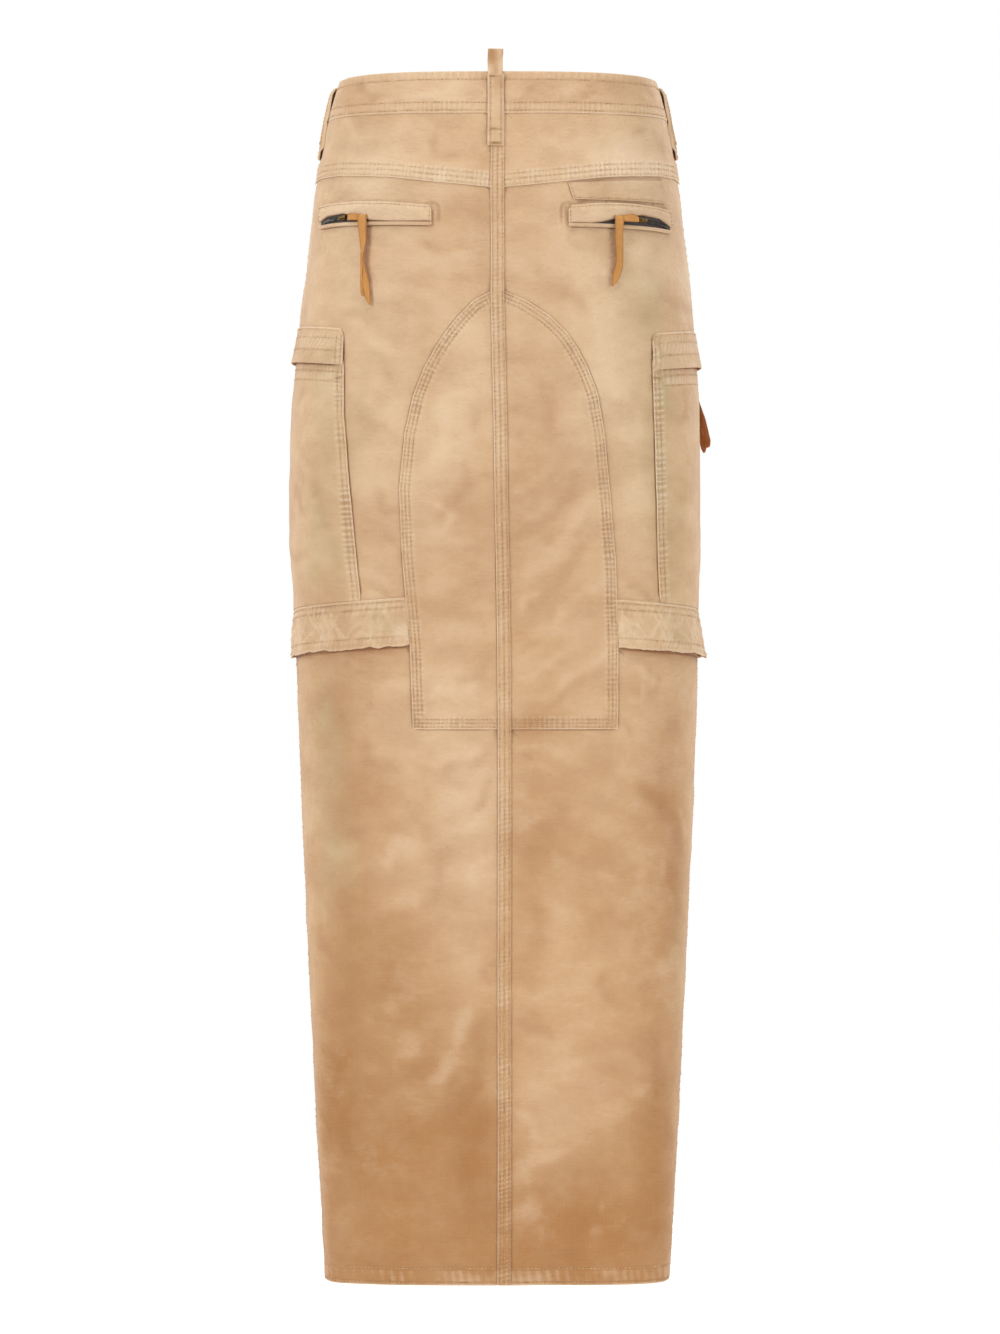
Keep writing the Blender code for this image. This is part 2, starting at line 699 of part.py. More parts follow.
def waistband(canvas):
    """The ring of the waist, its left end lapped over its right one at the centre front."""
    step = ((CENTRE_FRONT - BAND_OVERLAP - 1, 0.0), (CENTRE_FRONT - BAND_OVERLAP, -UNDERLAP))

    def outer(p, q, node):
        return BAND_LIFT + between(step, p)

    def inner(p, q, node):
        return -CLOTH + between(step, p)

    flat = whole_cells(-CENTRE_FRONT - BAND_OVERLAP, CENTRE_FRONT, 0, WAIST_ROW)
    cloth("waistband", flat, inner, outer, canvas)


def body_panels(canvas):
    """The yoke, back panel and front panel of each side."""
    for side, sign in SIGN.items():
        spans = {
            "yoke": (0, LAP_COLUMN, WAIST_ROW, PANEL_ROW),
            "back_panel": (0, LAP_COLUMN, YOKE_ROW, LAST_ROW),
            "front_panel": (SIDE, CENTRE_FRONT, WAIST_ROW, LAST_ROW),
        }
        for piece, (start, end, top, foot) in spans.items():
            left, right = sorted((sign * start, sign * end))
            flat = whole_cells(left, right, top, foot)

            def outer(p, q, node, piece=piece):
                lift = 0.0 if piece == "front_panel" else side_lap_lift(p)
                return lift + (yoke_lap_lift(q) if piece == "yoke" else 0.0)

            def inner(p, q, node, outer=outer, piece=piece):
                lap = 0.0 if piece == "front_panel" else side_lap_lift(p) / LAP_RISE
                return outer(p, q, node) - panel_thickness(q, lap)

            cloth(f"{piece}_{side}", flat, inner, outer, canvas)


# Pieces that lie on the body


def seat_panels(canvas):
    """The two halves of the pointed-arch panel."""
    for side, sign in SIGN.items():
        reach = [(getattr(row, side), row.drop) for row in SEAT]
        outline = [(HALF_GAP, SEAT_APEX)] + reach + [(HALF_GAP, SEAT[-1].drop)]
        inner, outer = lapped(lambda p, q, node: ON_BODY, CLOTH)
        cloth(f"seat_panel_{side}", shaped(outline, sign), inner, outer, canvas)


def back_seam_band(canvas):
    """The felled seam, which climbs over the yoke lap and the seat panel."""
    left = [(row.left, row.drop) for row in SEAM_BAND]
    right = [(row.right, row.drop) for row in reversed(SEAM_BAND)]
    inner, outer = lapped(lambda p, q, node: between(SEAM_LIFT, node.drop), THIN)
    creases = [[(-0.02, drop), (0.02, drop)] for drop, _ in SEAM_LIFT[2:]]
    cloth("back_seam_band", shaped(left + right, 1, creases), inner, outer, canvas)


def belt_loops(canvas):
    """Five folded strips, sewn down at both ends and standing off between them."""
    for loop in LOOPS:
        middles = [(seam_way(loop.column, drop) + loop.shift, drop) for drop in LOOP_DROPS]
        half = LOOP_WIDTH / 2
        left = [(way - half, drop) for way, drop in middles]
        right = [(way + half, drop) for way, drop in reversed(middles)]
        lifts = (
            loop.top_seat,
            LOOP_STAND,
            LOOP_STAND,
            LOOP_STAND - LOOP_FALL,
            loop.foot_seat + LOOP_FOOT_SLACK,
            loop.foot_seat,
        )
        lift = tuple(zip(LOOP_DROPS, lifts))
        inner, outer = lapped(lambda p, q, node, lift=lift: between(lift, node.drop), LOOP_THICK)
        creases = [[(way - half, drop), (way + half, drop)] for way, drop in middles[1:-1]]
        cloth(loop.name, shaped(left + right, 1, creases), inner, outer, canvas)


def pocket_inner_way(side, drop):
    """The distance of the cargo pocket's inner edge from the centre back."""
    return between([(row.drop, getattr(row, side)) for row in POCKET_EDGE], drop)


def band_top(way, drop_near=BAND_TOP):
    """The drop of the pocket band's top edge, which sags to the side seam and is level beyond."""
    start = SEAT[-2].left
    return BAND_TOP + BAND_SAG * min((abs(way) - start) / (side_way(drop_near) - start), 1.0)


def band_line(start, end, shift, steps=8):
    """Points along the band's top edge, moved down by a shift, with one at the side seam."""
    seam = side_way(BAND_TOP)
    ways = [start + (seam - start) * k / steps for k in range(steps)]
    ways += [seam + (end - seam) * k / steps for k in range(steps + 1)]
    return [(way, band_top(way) + shift) for way in ways]


def flap_skew(side, way, drop):
    """0 at the side seam and 1 at the ends of the flap."""
    seam = side_way(drop)
    reach = seam - pocket_inner_way(side, drop)
    return min(abs(abs(way) - seam) / reach, 1.0)


def flap_line(side, drop, start, end, steps=6):
    """Points on the wearer's right along a cross line of the flap, bowed up at the side seam."""
    ways = [start + (end - start) * k / steps for k in range(steps + 1)]
    return [(way, drop + FLAP_SKEW * flap_skew(side, way, drop) ** 1.5) for way in ways]


def cargo_pockets(canvas):
    """The patch pockets round the sides, a little puffed between their sewn edges."""
    for side, sign in SIGN.items():
        front = side_way(POCKET_TOP) + POCKET_REACH
        inner_edge = [(getattr(row, side), row.drop) for row in POCKET_EDGE]
        top = flap_line(side, POCKET_TOP, pocket_inner_way(side, POCKET_TOP), front)
        foot_end = side_way(BAND_TOP) + POCKET_REACH
        foot = band_line(inner_edge[-1][0], foot_end, -2 * SEAM_GAP)
        outline = top + foot[::-1] + inner_edge[-2:0:-1]

        def lift(p, q, node, side=side):
            start = pocket_inner_way(side, node.drop)
            width = side_way(node.drop) + POCKET_REACH - start
            across = (abs(node.way) - start) / width
            down = (node.drop - POCKET_TOP) / (BAND_TOP - POCKET_TOP)
            bulge = smooth(across / PUFF_MARGIN) * smooth((1 - across) / PUFF_MARGIN)
            bulge *= smooth(down / PUFF_MARGIN) * smooth((1 - down) / PUFF_MARGIN)
            return ON_BODY + over_side_lap(p) + POCKET_PUFF[side] * bulge

        inner, outer = lapped(lift, CLOTH)
        cloth(f"cargo_pocket_{side}", shaped(outline, sign), inner, outer, canvas)


def pocket_flaps(canvas):
    """The shallow flap over each cargo pocket's mouth, its free edge standing off."""
    for side, sign in SIGN.items():
        start = pocket_inner_way(side, FLAP_FOOT)
        end = side_way(FLAP_FOOT) + POCKET_REACH
        corner = FLAP_CORNER
        top = flap_line(side, FLAP_TOP, start + corner, end - corner)
        foot = flap_line(side, FLAP_FOOT, end, start, 8)
        shoulder = FLAP_TOP + FLAP_SKEW + corner
        outline = [(start, shoulder)] + top + [(end, shoulder)] + foot

        def lift(p, q, node, side=side):
            skew = FLAP_SKEW * flap_skew(side, node.way, node.drop) ** 1.5
            down = (node.drop - skew - FLAP_TOP) / (FLAP_FOOT - FLAP_TOP)
            stand = FLAP_STAND * (1 - FLAP_END_LOSS * flap_skew(side, node.way, node.drop) ** 2)
            rise = (ON_PANEL - ON_BODY) * smooth(down / FLAP_RAMP)
            return ON_BODY + over_side_lap(p) + rise + stand * max(down, 0.0) ** 2

        inner, outer = lapped(lift, CLOTH)
        drops = [FLAP_TOP + share * (FLAP_FOOT - FLAP_TOP) for share in (0.4, FLAP_RAMP)]
        creases = [flap_line(side, drop, start, end) for drop in drops]
        cloth(f"pocket_flap_{side}", shaped(outline, sign, creases), inner, outer, canvas)


def pocket_bands(canvas):
    """The band below each cargo pocket, from the seat panel round the side."""
    for side, sign in SIGN.items():
        seat = [(row.drop, getattr(row, side)) for row in SEAT]
        seam = side_way(BAND_TOP)
        top_start = between(seat, BAND_TOP) + SEAM_GAP
        foot_start = between(seat, BAND_TOP + BAND_HEIGHT) + SEAM_GAP
        end = seam + BAND_REACH
        top = band_line(top_start, end, 0)
        foot = band_line(foot_start, end, BAND_HEIGHT)[::-1]

        def lift(p, q, node, side=side, seam=seam):
            down = (node.drop - band_top(node.way)) / BAND_HEIGHT
            near_side = smooth(1 - abs(abs(node.way) - seam) / BAND_STAND_REACH)
            stand = BAND_STAND[side] * near_side + BAND_LEAST_STAND
            free = max(down - BAND_SEWN, 0.0) / (1 - BAND_SEWN)
            return ON_BODY + over_side_lap(p) + stand * free**BAND_CURL

        inner, outer = lapped(lift, CLOTH)
        crease = band_line(top_start - 0.01, end + 0.01, 0.6 * BAND_HEIGHT)
        cloth(f"pocket_band_{side}", shaped(top + foot, sign, [crease]), inner, outer, canvas)


def zip_pockets(canvas, tape, metal):
    """For each back pocket the welt, the piping, and the zip with its slider between them."""
    for side, rows in ZIPS.items():
        sign = SIGN[side]
        first, last = rows[0], rows[-1]
        welt = [(row.way, row.top) for row in rows] + [(row.way, row.foot) for row in rows[::-1]]
        piping = [(row.way, row.piping) for row in rows]
        piping += [(row.way, row.piping + PIPING_HEIGHT) for row in rows[::-1]]
        tape_outline = [
            (first.way + TAPE_INSET, first.top + TAPE_UNDER),
            (rows[2].way, rows[2].top + TAPE_UNDER),
            (last.way - TAPE_INSET, last.top + TAPE_UNDER),
            (last.way - TAPE_INSET, last.piping + TAPE_INSET),
            (rows[2].way, rows[2].piping + TAPE_INSET),
            (first.way + TAPE_INSET, first.piping + TAPE_INSET),
        ]
        on_tape = lapped(lambda p, q, node: ON_TAPE, CLOTH)
        on_body = lapped(lambda p, q, node: ON_BODY, THIN)
        cloth(f"zip_tape_{side}", shaped(tape_outline, sign), *on_body, tape)
        cloth(f"welt_{side}", shaped(welt, sign), *on_tape, canvas)
        cloth(f"lower_welt_{side}", shaped(piping, sign), *on_tape, canvas)
        slider(f"zip_slider_{side}", *SLIDERS[side], metal)


def local_frame(way, drop):
    """Unit vectors along the body, down it and out of it at a place."""
    along = (place(way + NEAR, drop, 0) - place(way - NEAR, drop, 0)).normalized()
    out = on_grid(*to_grid(way, drop)).normal.normalized()
    return along, out.cross(along).normalized(), out


def slider(name, way, drop, metal):
    """A small rounded block that lies on the zip."""
    along, down, out = local_frame(way, drop)
    long, thick, tall = SLIDER_SIZE
    bm = bmesh.new()
    bmesh.ops.create_cube(bm, size=1)
    bmesh.ops.scale(bm, vec=(long, tall, thick), verts=bm.verts[:])
    bmesh.ops.bevel(bm, geom=bm.edges[:], offset=SLIDER_ROUND, segments=1, affect="EDGES")
    middle = place(way, drop, ON_TAPE + thick / 2)
    for vert in bm.verts:
        x, y, z = vert.co
        vert.co = middle + along * x + down * y + out * z
    finish(name, bm, metal)


def strip(name, stations, thickness, material):
    """A flat strip through the stations."""
    middles = [place(row.way, row.drop, row.lift) for row in stations]
    bm = bmesh.new()
    rings = []
    for k, row in enumerate(stations):
        along, down, out = local_frame(row.way, max(row.drop, 0.0))
        lean, turn = math.radians(row.lean), math.radians(row.turn)
        across = along * math.cos(lean) + down * math.sin(lean)
        across = across * math.cos(turn) + out * math.sin(turn)
        path = middles[min(k + 1, len(middles) - 1)] - middles[max(k - 1, 0)]
        thick = across.cross(path).normalized() * thickness / 2
        wide = path.cross(thick).normalized() * row.half_width
        corners = ((-1, -1), (1, -1), (1, 1), (-1, 1))
        rings.append([bm.verts.new(middles[k] + wide * u + thick * v) for u, v in corners])
    for ring, after in zip(rings, rings[1:]):
        for k in range(4):
            bm.faces.new((ring[k], ring[(k + 1) % 4], after[(k + 1) % 4], after[k]))
    bm.faces.new(rings[0][::-1])
    bm.faces.new(rings[-1])
    return finish(name, bm, material)


def fly_placket(canvas):
    """The doubled edge of the wearer's left front panel, below the waistband."""
    top = WAIST_SEAM[-1][1] + SEAM_GAP
    drops = (top,) + FLY_EDGE_DROPS
    edge = [(-seam_way(CENTRE_FRONT, drop) + SEAM_GAP, drop) for drop in drops]
    curve = []
    for share in (0.0, 0.2, 0.45, 0.7, 0.9, 1.0):
        angle = math.pi / 2 * share
        drop = FLY_FOOT - FLY_CURVE * (1 - math.cos(angle))
        way = -seam_way(CENTRE_FRONT, drop) + SEAM_GAP + FLY_WIDTH * math.sin(angle)
        curve.append((way, drop))
    inner_edge = [(-seam_way(CENTRE_FRONT, drop) + FLY_WIDTH, drop) for drop in drops[2::-1]]
    inner, outer = lapped(lambda p, q, node: ON_BODY, CLOTH)
    cloth("fly_placket", shaped(edge + curve + inner_edge), inner, outer, canvas)


def waist_button(metal):
    """A domed disc on the waistband's lap."""
    drop = WAIST_SEAM[-1][1] / 2
    way = -seam_way(CENTRE_FRONT - 1, drop)
    along, down, out = local_frame(way, drop)
    bm = bmesh.new()
    bmesh.ops.create_cone(
        bm,
        cap_ends=True,
        segments=24,
        radius1=BUTTON_RADIUS,
        radius2=BUTTON_RADIUS * BUTTON_TOP,
        depth=BUTTON_THICK,
    )
    middle = place(way, drop, BAND_LIFT + 2 * SEAM_GAP + BUTTON_THICK / 2)
    for vert in bm.verts:
        x, y, z = vert.co
        vert.co = middle + along * x + down * y + out * z
    finish("waist_button", bm, metal)


def patch(canvas):
    """The plain strip between the yoke lap and the right zip pocket."""
    inner, outer = lapped(lambda p, q, node: ON_BODY, THIN)
    cloth("patch", shaped(PATCH), inner, outer, canvas)


def build():
    for old in list(bpy.data.objects):
        bpy.data.objects.remove(old)
    canvas = material("washed_tan_canvas", (0.62, 0.43, 0.26), 0.9)
    suede = material("ochre_suede", (0.56, 0.28, 0.09), 0.95)
    tape = material("grey_zip_tape", (0.10, 0.10, 0.11), 0.6)
    metal = material("aged_brass", (0.55, 0.42, 0.22), 0.4, 1.0)
    waistband(canvas)
    body_panels(canvas)
    seat_panels(canvas)
    back_seam_band(canvas)
    belt_loops(canvas)
    strip("hanger_tab", HANGER_TAB, THIN, canvas)
    cargo_pockets(canvas)
    pocket_flaps(canvas)
    pocket_bands(canvas)
    zip_pockets(canvas, tape, metal)
    strip("zip_pull_left", ZIP_PULL_LEFT, SUEDE, suede)
    strip("zip_pull_right", ZIP_PULL_RIGHT, SUEDE, suede)
    strip("side_pull", SIDE_PULL, SUEDE, suede)
    patch(canvas)
    fly_placket(canvas)
    waist_button(metal)


build()
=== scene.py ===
"""Washed canvas cargo skirt: its cloth, thread, zips and suede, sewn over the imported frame.

Frame: metres, +Z up. The skirt's back faces -Y, and the wearer's right side is +X. A place on the
skirt has a `way`, the distance round it from the centre back, positive to the wearer's right, and
a `drop`, the distance below the waist. A `lift` is a height off the body's face.
"""

import math
from collections import namedtuple

import bmesh
import bpy
import numpy as np
from bpy.props import FloatProperty, FloatVectorProperty, PointerProperty
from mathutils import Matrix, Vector


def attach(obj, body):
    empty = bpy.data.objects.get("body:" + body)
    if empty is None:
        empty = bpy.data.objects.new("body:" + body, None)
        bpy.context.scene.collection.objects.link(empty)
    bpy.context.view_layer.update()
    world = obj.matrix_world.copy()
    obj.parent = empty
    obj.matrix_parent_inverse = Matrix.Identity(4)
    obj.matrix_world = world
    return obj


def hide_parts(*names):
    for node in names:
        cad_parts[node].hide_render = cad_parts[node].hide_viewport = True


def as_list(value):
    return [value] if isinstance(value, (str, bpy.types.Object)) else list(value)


bl_info = {
    "name": "Cargo utility skirt",
    "version": (1, 0, 0),
    "blender": (4, 5, 0),
    "location": "3D View > Sidebar > Skirt",
    "description": "Dresses the frame of a long cargo skirt in washed canvas, thread, zips and suede",
    "category": "Object",
}

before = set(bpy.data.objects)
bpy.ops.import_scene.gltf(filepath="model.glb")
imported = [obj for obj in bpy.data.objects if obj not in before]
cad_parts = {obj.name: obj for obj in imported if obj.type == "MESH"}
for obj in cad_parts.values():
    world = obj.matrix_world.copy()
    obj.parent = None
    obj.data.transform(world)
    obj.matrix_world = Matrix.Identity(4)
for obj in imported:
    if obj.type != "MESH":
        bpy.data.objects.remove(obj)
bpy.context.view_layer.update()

# Measures of the cut
LENGTH = 1.045  # waist to hem
WAISTBAND_HEIGHT = 0.036
BAND_LIFT = 0.0010  # how far the doubled waistband stands above the single cloth
SEAM_GAP = 0.0003
HALF_GAP = SEAM_GAP / 2
CLOTH = 0.0012
THIN = 0.0010
HEM_HEIGHT = 0.0155
HEM_CLOTH = 0.0026
HEM_ROWS = (0.0020, 0.0142)  # the stitch rows of the hem, up from its edge
YOKE_LAP = 0.0115
YOKE_RAMP = 0.012
SIDE_LAP = 0.0105
SIDE_ROWS = (0.002, 0.008)  # the stitch rows of the side seam, in from the lapped edge
LAP_SLOPE = 0.017  # over this distance the back panel climbs onto the front one
LAP_RISE = CLOTH + SEAM_GAP
ON_BODY = SEAM_GAP
ON_PANEL = ON_BODY + CLOTH + SEAM_GAP
ON_TAPE = ON_BODY + THIN + SEAM_GAP

# Sections of the body: drop, half width, back, front, squareness, sideways sway, set back
SECTIONS = (
    (0.000, 0.1388, 0.098, 0.089, 2.85, -0.0018, 0.000),
    (0.034, 0.1483, 0.105, 0.094, 2.60, -0.0018, 0.000),
    (0.065, 0.1539, 0.112, 0.099, 2.45, -0.0019, 0.000),
    (0.100, 0.1592, 0.119, 0.103, 2.40, -0.0024, 0.000),
    (0.160, 0.1662, 0.127, 0.108, 2.40, -0.0022, 0.000),
    (0.212, 0.1718, 0.130, 0.111, 2.40, -0.0028, 0.000),
    (0.300, 0.1745, 0.128, 0.112, 2.40, -0.0038, 0.001),
    (0.400, 0.1752, 0.119, 0.110, 2.45, -0.0040, 0.005),
    (0.505, 0.1745, 0.106, 0.106, 2.60, -0.0027, 0.010),
    (0.600, 0.1713, 0.095, 0.103, 2.70, -0.0022, 0.015),
    (0.775, 0.1634, 0.074, 0.096, 3.00, -0.0024, 0.021),
    (0.905, 0.1570, 0.060, 0.090, 3.20, -0.0022, 0.024),
    (1.045, 0.1490, 0.047, 0.085, 3.40, -0.0024, 0.026),
)

# Broad folds of the hang: each leans from way_top at top to way_foot at foot. A fold with a
# negative depth is a ridge.
Fold = namedtuple("Fold", "top foot way_top way_foot width depth")
FOLDS = (
    (0.56, 0.80, -0.030, -0.105, 0.030, 0.0028),
    (0.58, 0.92, -0.008, -0.062, 0.028, -0.0026),
    (0.72, 1.00, -0.012, -0.050, 0.026, 0.0030),
    (0.60, 0.86, 0.120, 0.150, 0.032, 0.0034),
    (0.62, 0.90, 0.040, 0.095, 0.036, -0.0024),
    (0.86, 1.04, 0.098, 0.045, 0.026, 0.0030),
    (0.70, 1.04, -0.150, -0.120, 0.030, 0.0030),
    (0.34, 0.46, 0.070, 0.015, 0.020, 0.0016),
    (0.42, 0.55, 0.085, 0.020, 0.022, -0.0018),
    (0.30, 0.50, -0.012, -0.066, 0.024, 0.0016),
    (0.30, 0.78, 0.440, 0.395, 0.042, 0.0050),
    (0.38, 1.04, -0.410, -0.330, 0.040, 0.0060),
    (0.50, 1.04, 0.350, 0.300, 0.034, 0.0045),
    (0.55, 1.04, -0.330, -0.255, 0.030, 0.0042),
    (0.62, 1.04, 0.405, 0.365, 0.030, -0.0040),
    (0.12, 0.30, -0.400, -0.350, 0.034, 0.0030),
    (0.12, 0.28, 0.385, 0.345, 0.034, 0.0028),
)

# Creases in the cloth: the two ends as (way, drop), the width of one side and the depth, both in
# millimetres. A negative depth is a ridge.
Crease = namedtuple("Crease", "way_a drop_a way_b drop_b width depth")
CREASES = (
    (-0.075, 0.661, -0.103, 0.677, 9, -1.0),
    (-0.003, 0.609, -0.022, 0.637, 5, 1.0),
    (-0.001, 0.624, -0.040, 0.657, 6, -0.8),
    (-0.008, 0.584, -0.043, 0.602, 6, 0.7),
    (-0.013, 0.579, -0.057, 0.598, 5, -0.6),
    (-0.008, 0.668, -0.026, 0.699, 7, -0.9),
    (-0.036, 0.661, -0.060, 0.710, 8, 0.8),
    (-0.015, 0.801, -0.057, 0.868, 9, -1.3),
    (-0.008, 0.819, -0.036, 0.900, 9, 1.2),
    (-0.050, 0.829, -0.075, 0.868, 7, 0.8),
    (-0.071, 0.833, -0.089, 0.858, 7, -0.8),
    (-0.003, 0.762, -0.013, 0.778, 4, 0.8),
    (-0.133, 0.508, -0.110, 0.519, 3, 0.8),
    (-0.129, 0.517, -0.125, 0.508, 3, -0.9),
    (-0.112, 0.517, -0.125, 0.508, 3, -0.8),
    (-0.104, 0.522, -0.074, 0.515, 4, 0.6),
    (-0.106, 0.529, -0.074, 0.522, 4, -0.5),
    (-0.112, 0.539, -0.108, 0.546, 4, 0.7),
    (-0.121, 0.574, -0.089, 0.602, 10, 0.9),
    (-0.141, 0.637, -0.121, 0.661, 9, 0.9),
    (-0.150, 0.662, -0.118, 0.682, 8, -0.6),
    (0.020, 0.696, 0.041, 0.752, 8, 0.9),
    (0.023, 0.647, 0.075, 0.633, 6, -0.5),
    (0.033, 0.650, 0.083, 0.682, 7, 0.6),
    (0.079, 0.682, 0.111, 0.696, 5, -0.7),
    (0.020, 0.703, 0.055, 0.724, 6, -0.5),
    (0.016, 0.577, 0.051, 0.583, 4, -0.6),
    (0.016, 0.586, 0.033, 0.591, 3, 0.6),
    (0.020, 0.595, 0.061, 0.602, 4, -0.5),
    (0.119, 0.513, 0.148, 0.526, 5, -1.0),
    (0.117, 0.543, 0.131, 0.529, 5, -0.9),
    (0.127, 0.536, 0.152, 0.519, 5, 0.9),
    (0.111, 0.571, 0.119, 0.557, 5, 0.6),
    (0.126, 0.606, 0.174, 0.670, 9, 1.3),
    (0.151, 0.627, 0.182, 0.652, 6, -0.8),
    (0.151, 0.697, 0.182, 0.730, 6, 0.9),
    (0.142, 0.669, 0.164, 0.712, 8, -0.7),
    (0.090, 0.773, 0.095, 0.801, 6, 0.8),
    (0.020, 0.812, 0.048, 0.833, 7, 0.7),
    (0.051, 0.822, 0.083, 0.819, 6, -0.5),
    (0.013, 0.889, 0.037, 0.917, 6, -0.8),
    (0.016, 0.949, 0.055, 0.925, 7, -0.9),
    (0.020, 0.967, 0.051, 0.953, 6, 0.7),
    (0.016, 0.985, 0.048, 0.967, 6, -0.6),
    (0.083, 0.989, 0.055, 1.020, 8, 1.3),
    (0.097, 0.975, 0.076, 0.999, 6, -0.7),
    (0.126, 0.961, 0.090, 1.006, 7, -0.5),
    (0.138, 0.824, 0.146, 0.884, 6, 1.0),
    (0.142, 0.895, 0.176, 0.944, 6, 0.9),
    (0.164, 0.733, 0.168, 0.754, 5, 0.6),
    (-0.162, 0.736, -0.149, 0.768, 7, 1.1),
    (-0.157, 0.803, -0.150, 0.828, 6, 0.9),
    (-0.150, 0.838, -0.141, 0.877, 6, 0.8),
    (-0.165, 0.715, -0.150, 0.732, 5, -0.6),
    (-0.145, 0.895, -0.125, 0.943, 8, 0.9),
    (-0.151, 0.995, -0.137, 1.029, 7, 0.7),
    (-0.040, 0.868, -0.026, 0.978, 9, 1.1),
    (-0.015, 0.907, -0.008, 1.006, 8, 0.8),
    (-0.050, 1.027, -0.015, 1.033, 4, 0.6),
    (-0.008, 1.034, 0.002, 1.029, 3, 0.7),
    (0.020, 0.942, 0.034, 0.995, 6, -0.5),
    (-0.103, 0.819, -0.075, 0.808, 7, 0.8),
    (-0.096, 0.794, -0.075, 0.836, 7, -0.5),
    (0.016, 0.522, 0.069, 0.494, 5, -0.7),
    (0.013, 0.501, 0.041, 0.489, 4, 0.6),
    (0.034, 0.553, 0.097, 0.508, 6, 0.6),
    (0.048, 0.536, 0.090, 0.498, 5, -0.6),
    (-0.050, 0.539, -0.015, 0.522, 5, -0.5),
    (-0.032, 0.525, -0.004, 0.508, 5, 0.5),
    (-0.064, 0.539, -0.043, 0.525, 4, -0.6),
    (-0.038, 0.278, -0.055, 0.341, 8, -0.9),
    (-0.048, 0.369, -0.038, 0.393, 6, -0.9),
    (-0.024, 0.341, -0.041, 0.386, 8, 0.9),
    (-0.024, 0.289, -0.006, 0.324, 8, 0.5),
    (0.008, 0.411, 0.078, 0.351, 7, 0.7),
    (0.021, 0.439, 0.093, 0.361, 7, -0.7),
    (0.028, 0.460, 0.097, 0.393, 7, 0.7),
    (0.017, 0.463, 0.035, 0.446, 5, -0.8),
    (0.049, 0.474, 0.096, 0.428, 6, -0.6),
    (0.035, 0.271, 0.057, 0.323, 9, 0.6),
    (0.015, 0.369, 0.057, 0.327, 6, -0.5),
    (-0.068, 0.148, -0.026, 0.156, 6, 0.7),
    (-0.072, 0.162, -0.015, 0.165, 5, -0.5),
    (-0.050, 0.177, -0.018, 0.184, 5, 0.6),
    (-0.086, 0.183, -0.028, 0.219, 7, -0.5),
    (-0.112, 0.239, -0.085, 0.264, 7, 0.5),
    (-0.133, 0.217, -0.089, 0.239, 6, -0.6),
    (-0.103, 0.368, -0.081, 0.382, 6, 0.8),
    (-0.123, 0.287, -0.084, 0.323, 8, 0.5),
    (-0.092, 0.393, -0.081, 0.424, 5, 0.8),
    (-0.122, 0.428, -0.085, 0.442, 4, -0.6),
    (-0.118, 0.449, -0.085, 0.456, 4, -0.7),
    (-0.111, 0.442, -0.092, 0.447, 3, 0.5),
    (0.123, 0.153, 0.146, 0.195, 8, -0.9),
    (0.146, 0.188, 0.244, 0.206, 7, 0.9),
    (0.164, 0.165, 0.212, 0.190, 5, -0.6),
    (0.104, 0.270, 0.132, 0.305, 8, -0.5),
    (0.115, 0.442, 0.143, 0.452, 4, 0.7),
    (0.111, 0.452, 0.143, 0.457, 4, -0.6),
    (0.062, 0.131, 0.069, 0.155, 6, 0.5),
    (0.088, 0.169, 0.056, 0.219, 9, -0.5),
    (0.037, 0.170, 0.077, 0.215, 8, 0.5),
    (-0.215, 0.283, -0.167, 0.272, 7, 0.7),
    (-0.245, 0.317, -0.165, 0.342, 7, -0.7),
    (-0.206, 0.355, -0.176, 0.377, 6, 0.9),
    (-0.239, 0.418, -0.163, 0.409, 6, 0.7),
    (-0.160, 0.300, -0.208, 0.334, 6, -0.6),
    (-0.165, 0.335, -0.143, 0.427, 7, 0.5),
    (0.189, 0.274, 0.177, 0.299, 6, 0.9),
    (0.246, 0.281, 0.199, 0.320, 6, -0.6),
    (0.161, 0.367, 0.242, 0.379, 6, 0.5),
    (-0.130, 0.009, -0.103, 0.022, 6, 0.8),
    (-0.175, -0.001, -0.120, 0.024, 5, -0.6),
    (-0.058, 0.020, -0.026, 0.011, 6, -0.7),
    (0.019, 0.009, 0.055, 0.020, 6, 0.6),
    (0.069, 0.019, 0.116, 0.006, 6, 0.5),
    (0.126, 0.004, 0.156, 0.020, 6, 0.5),
    (-0.152, 0.039, -0.111, 0.057, 7, -0.5),
    (-0.062, 0.059, -0.036, 0.078, 8, 0.8),
    (0.041, 0.045, 0.069, 0.063, 7, 0.4),
    (0.120, 0.042, 0.134, 0.056, 6, 0.7),
    (-0.095, 0.054, -0.062, 0.041, 8, -0.4),
)

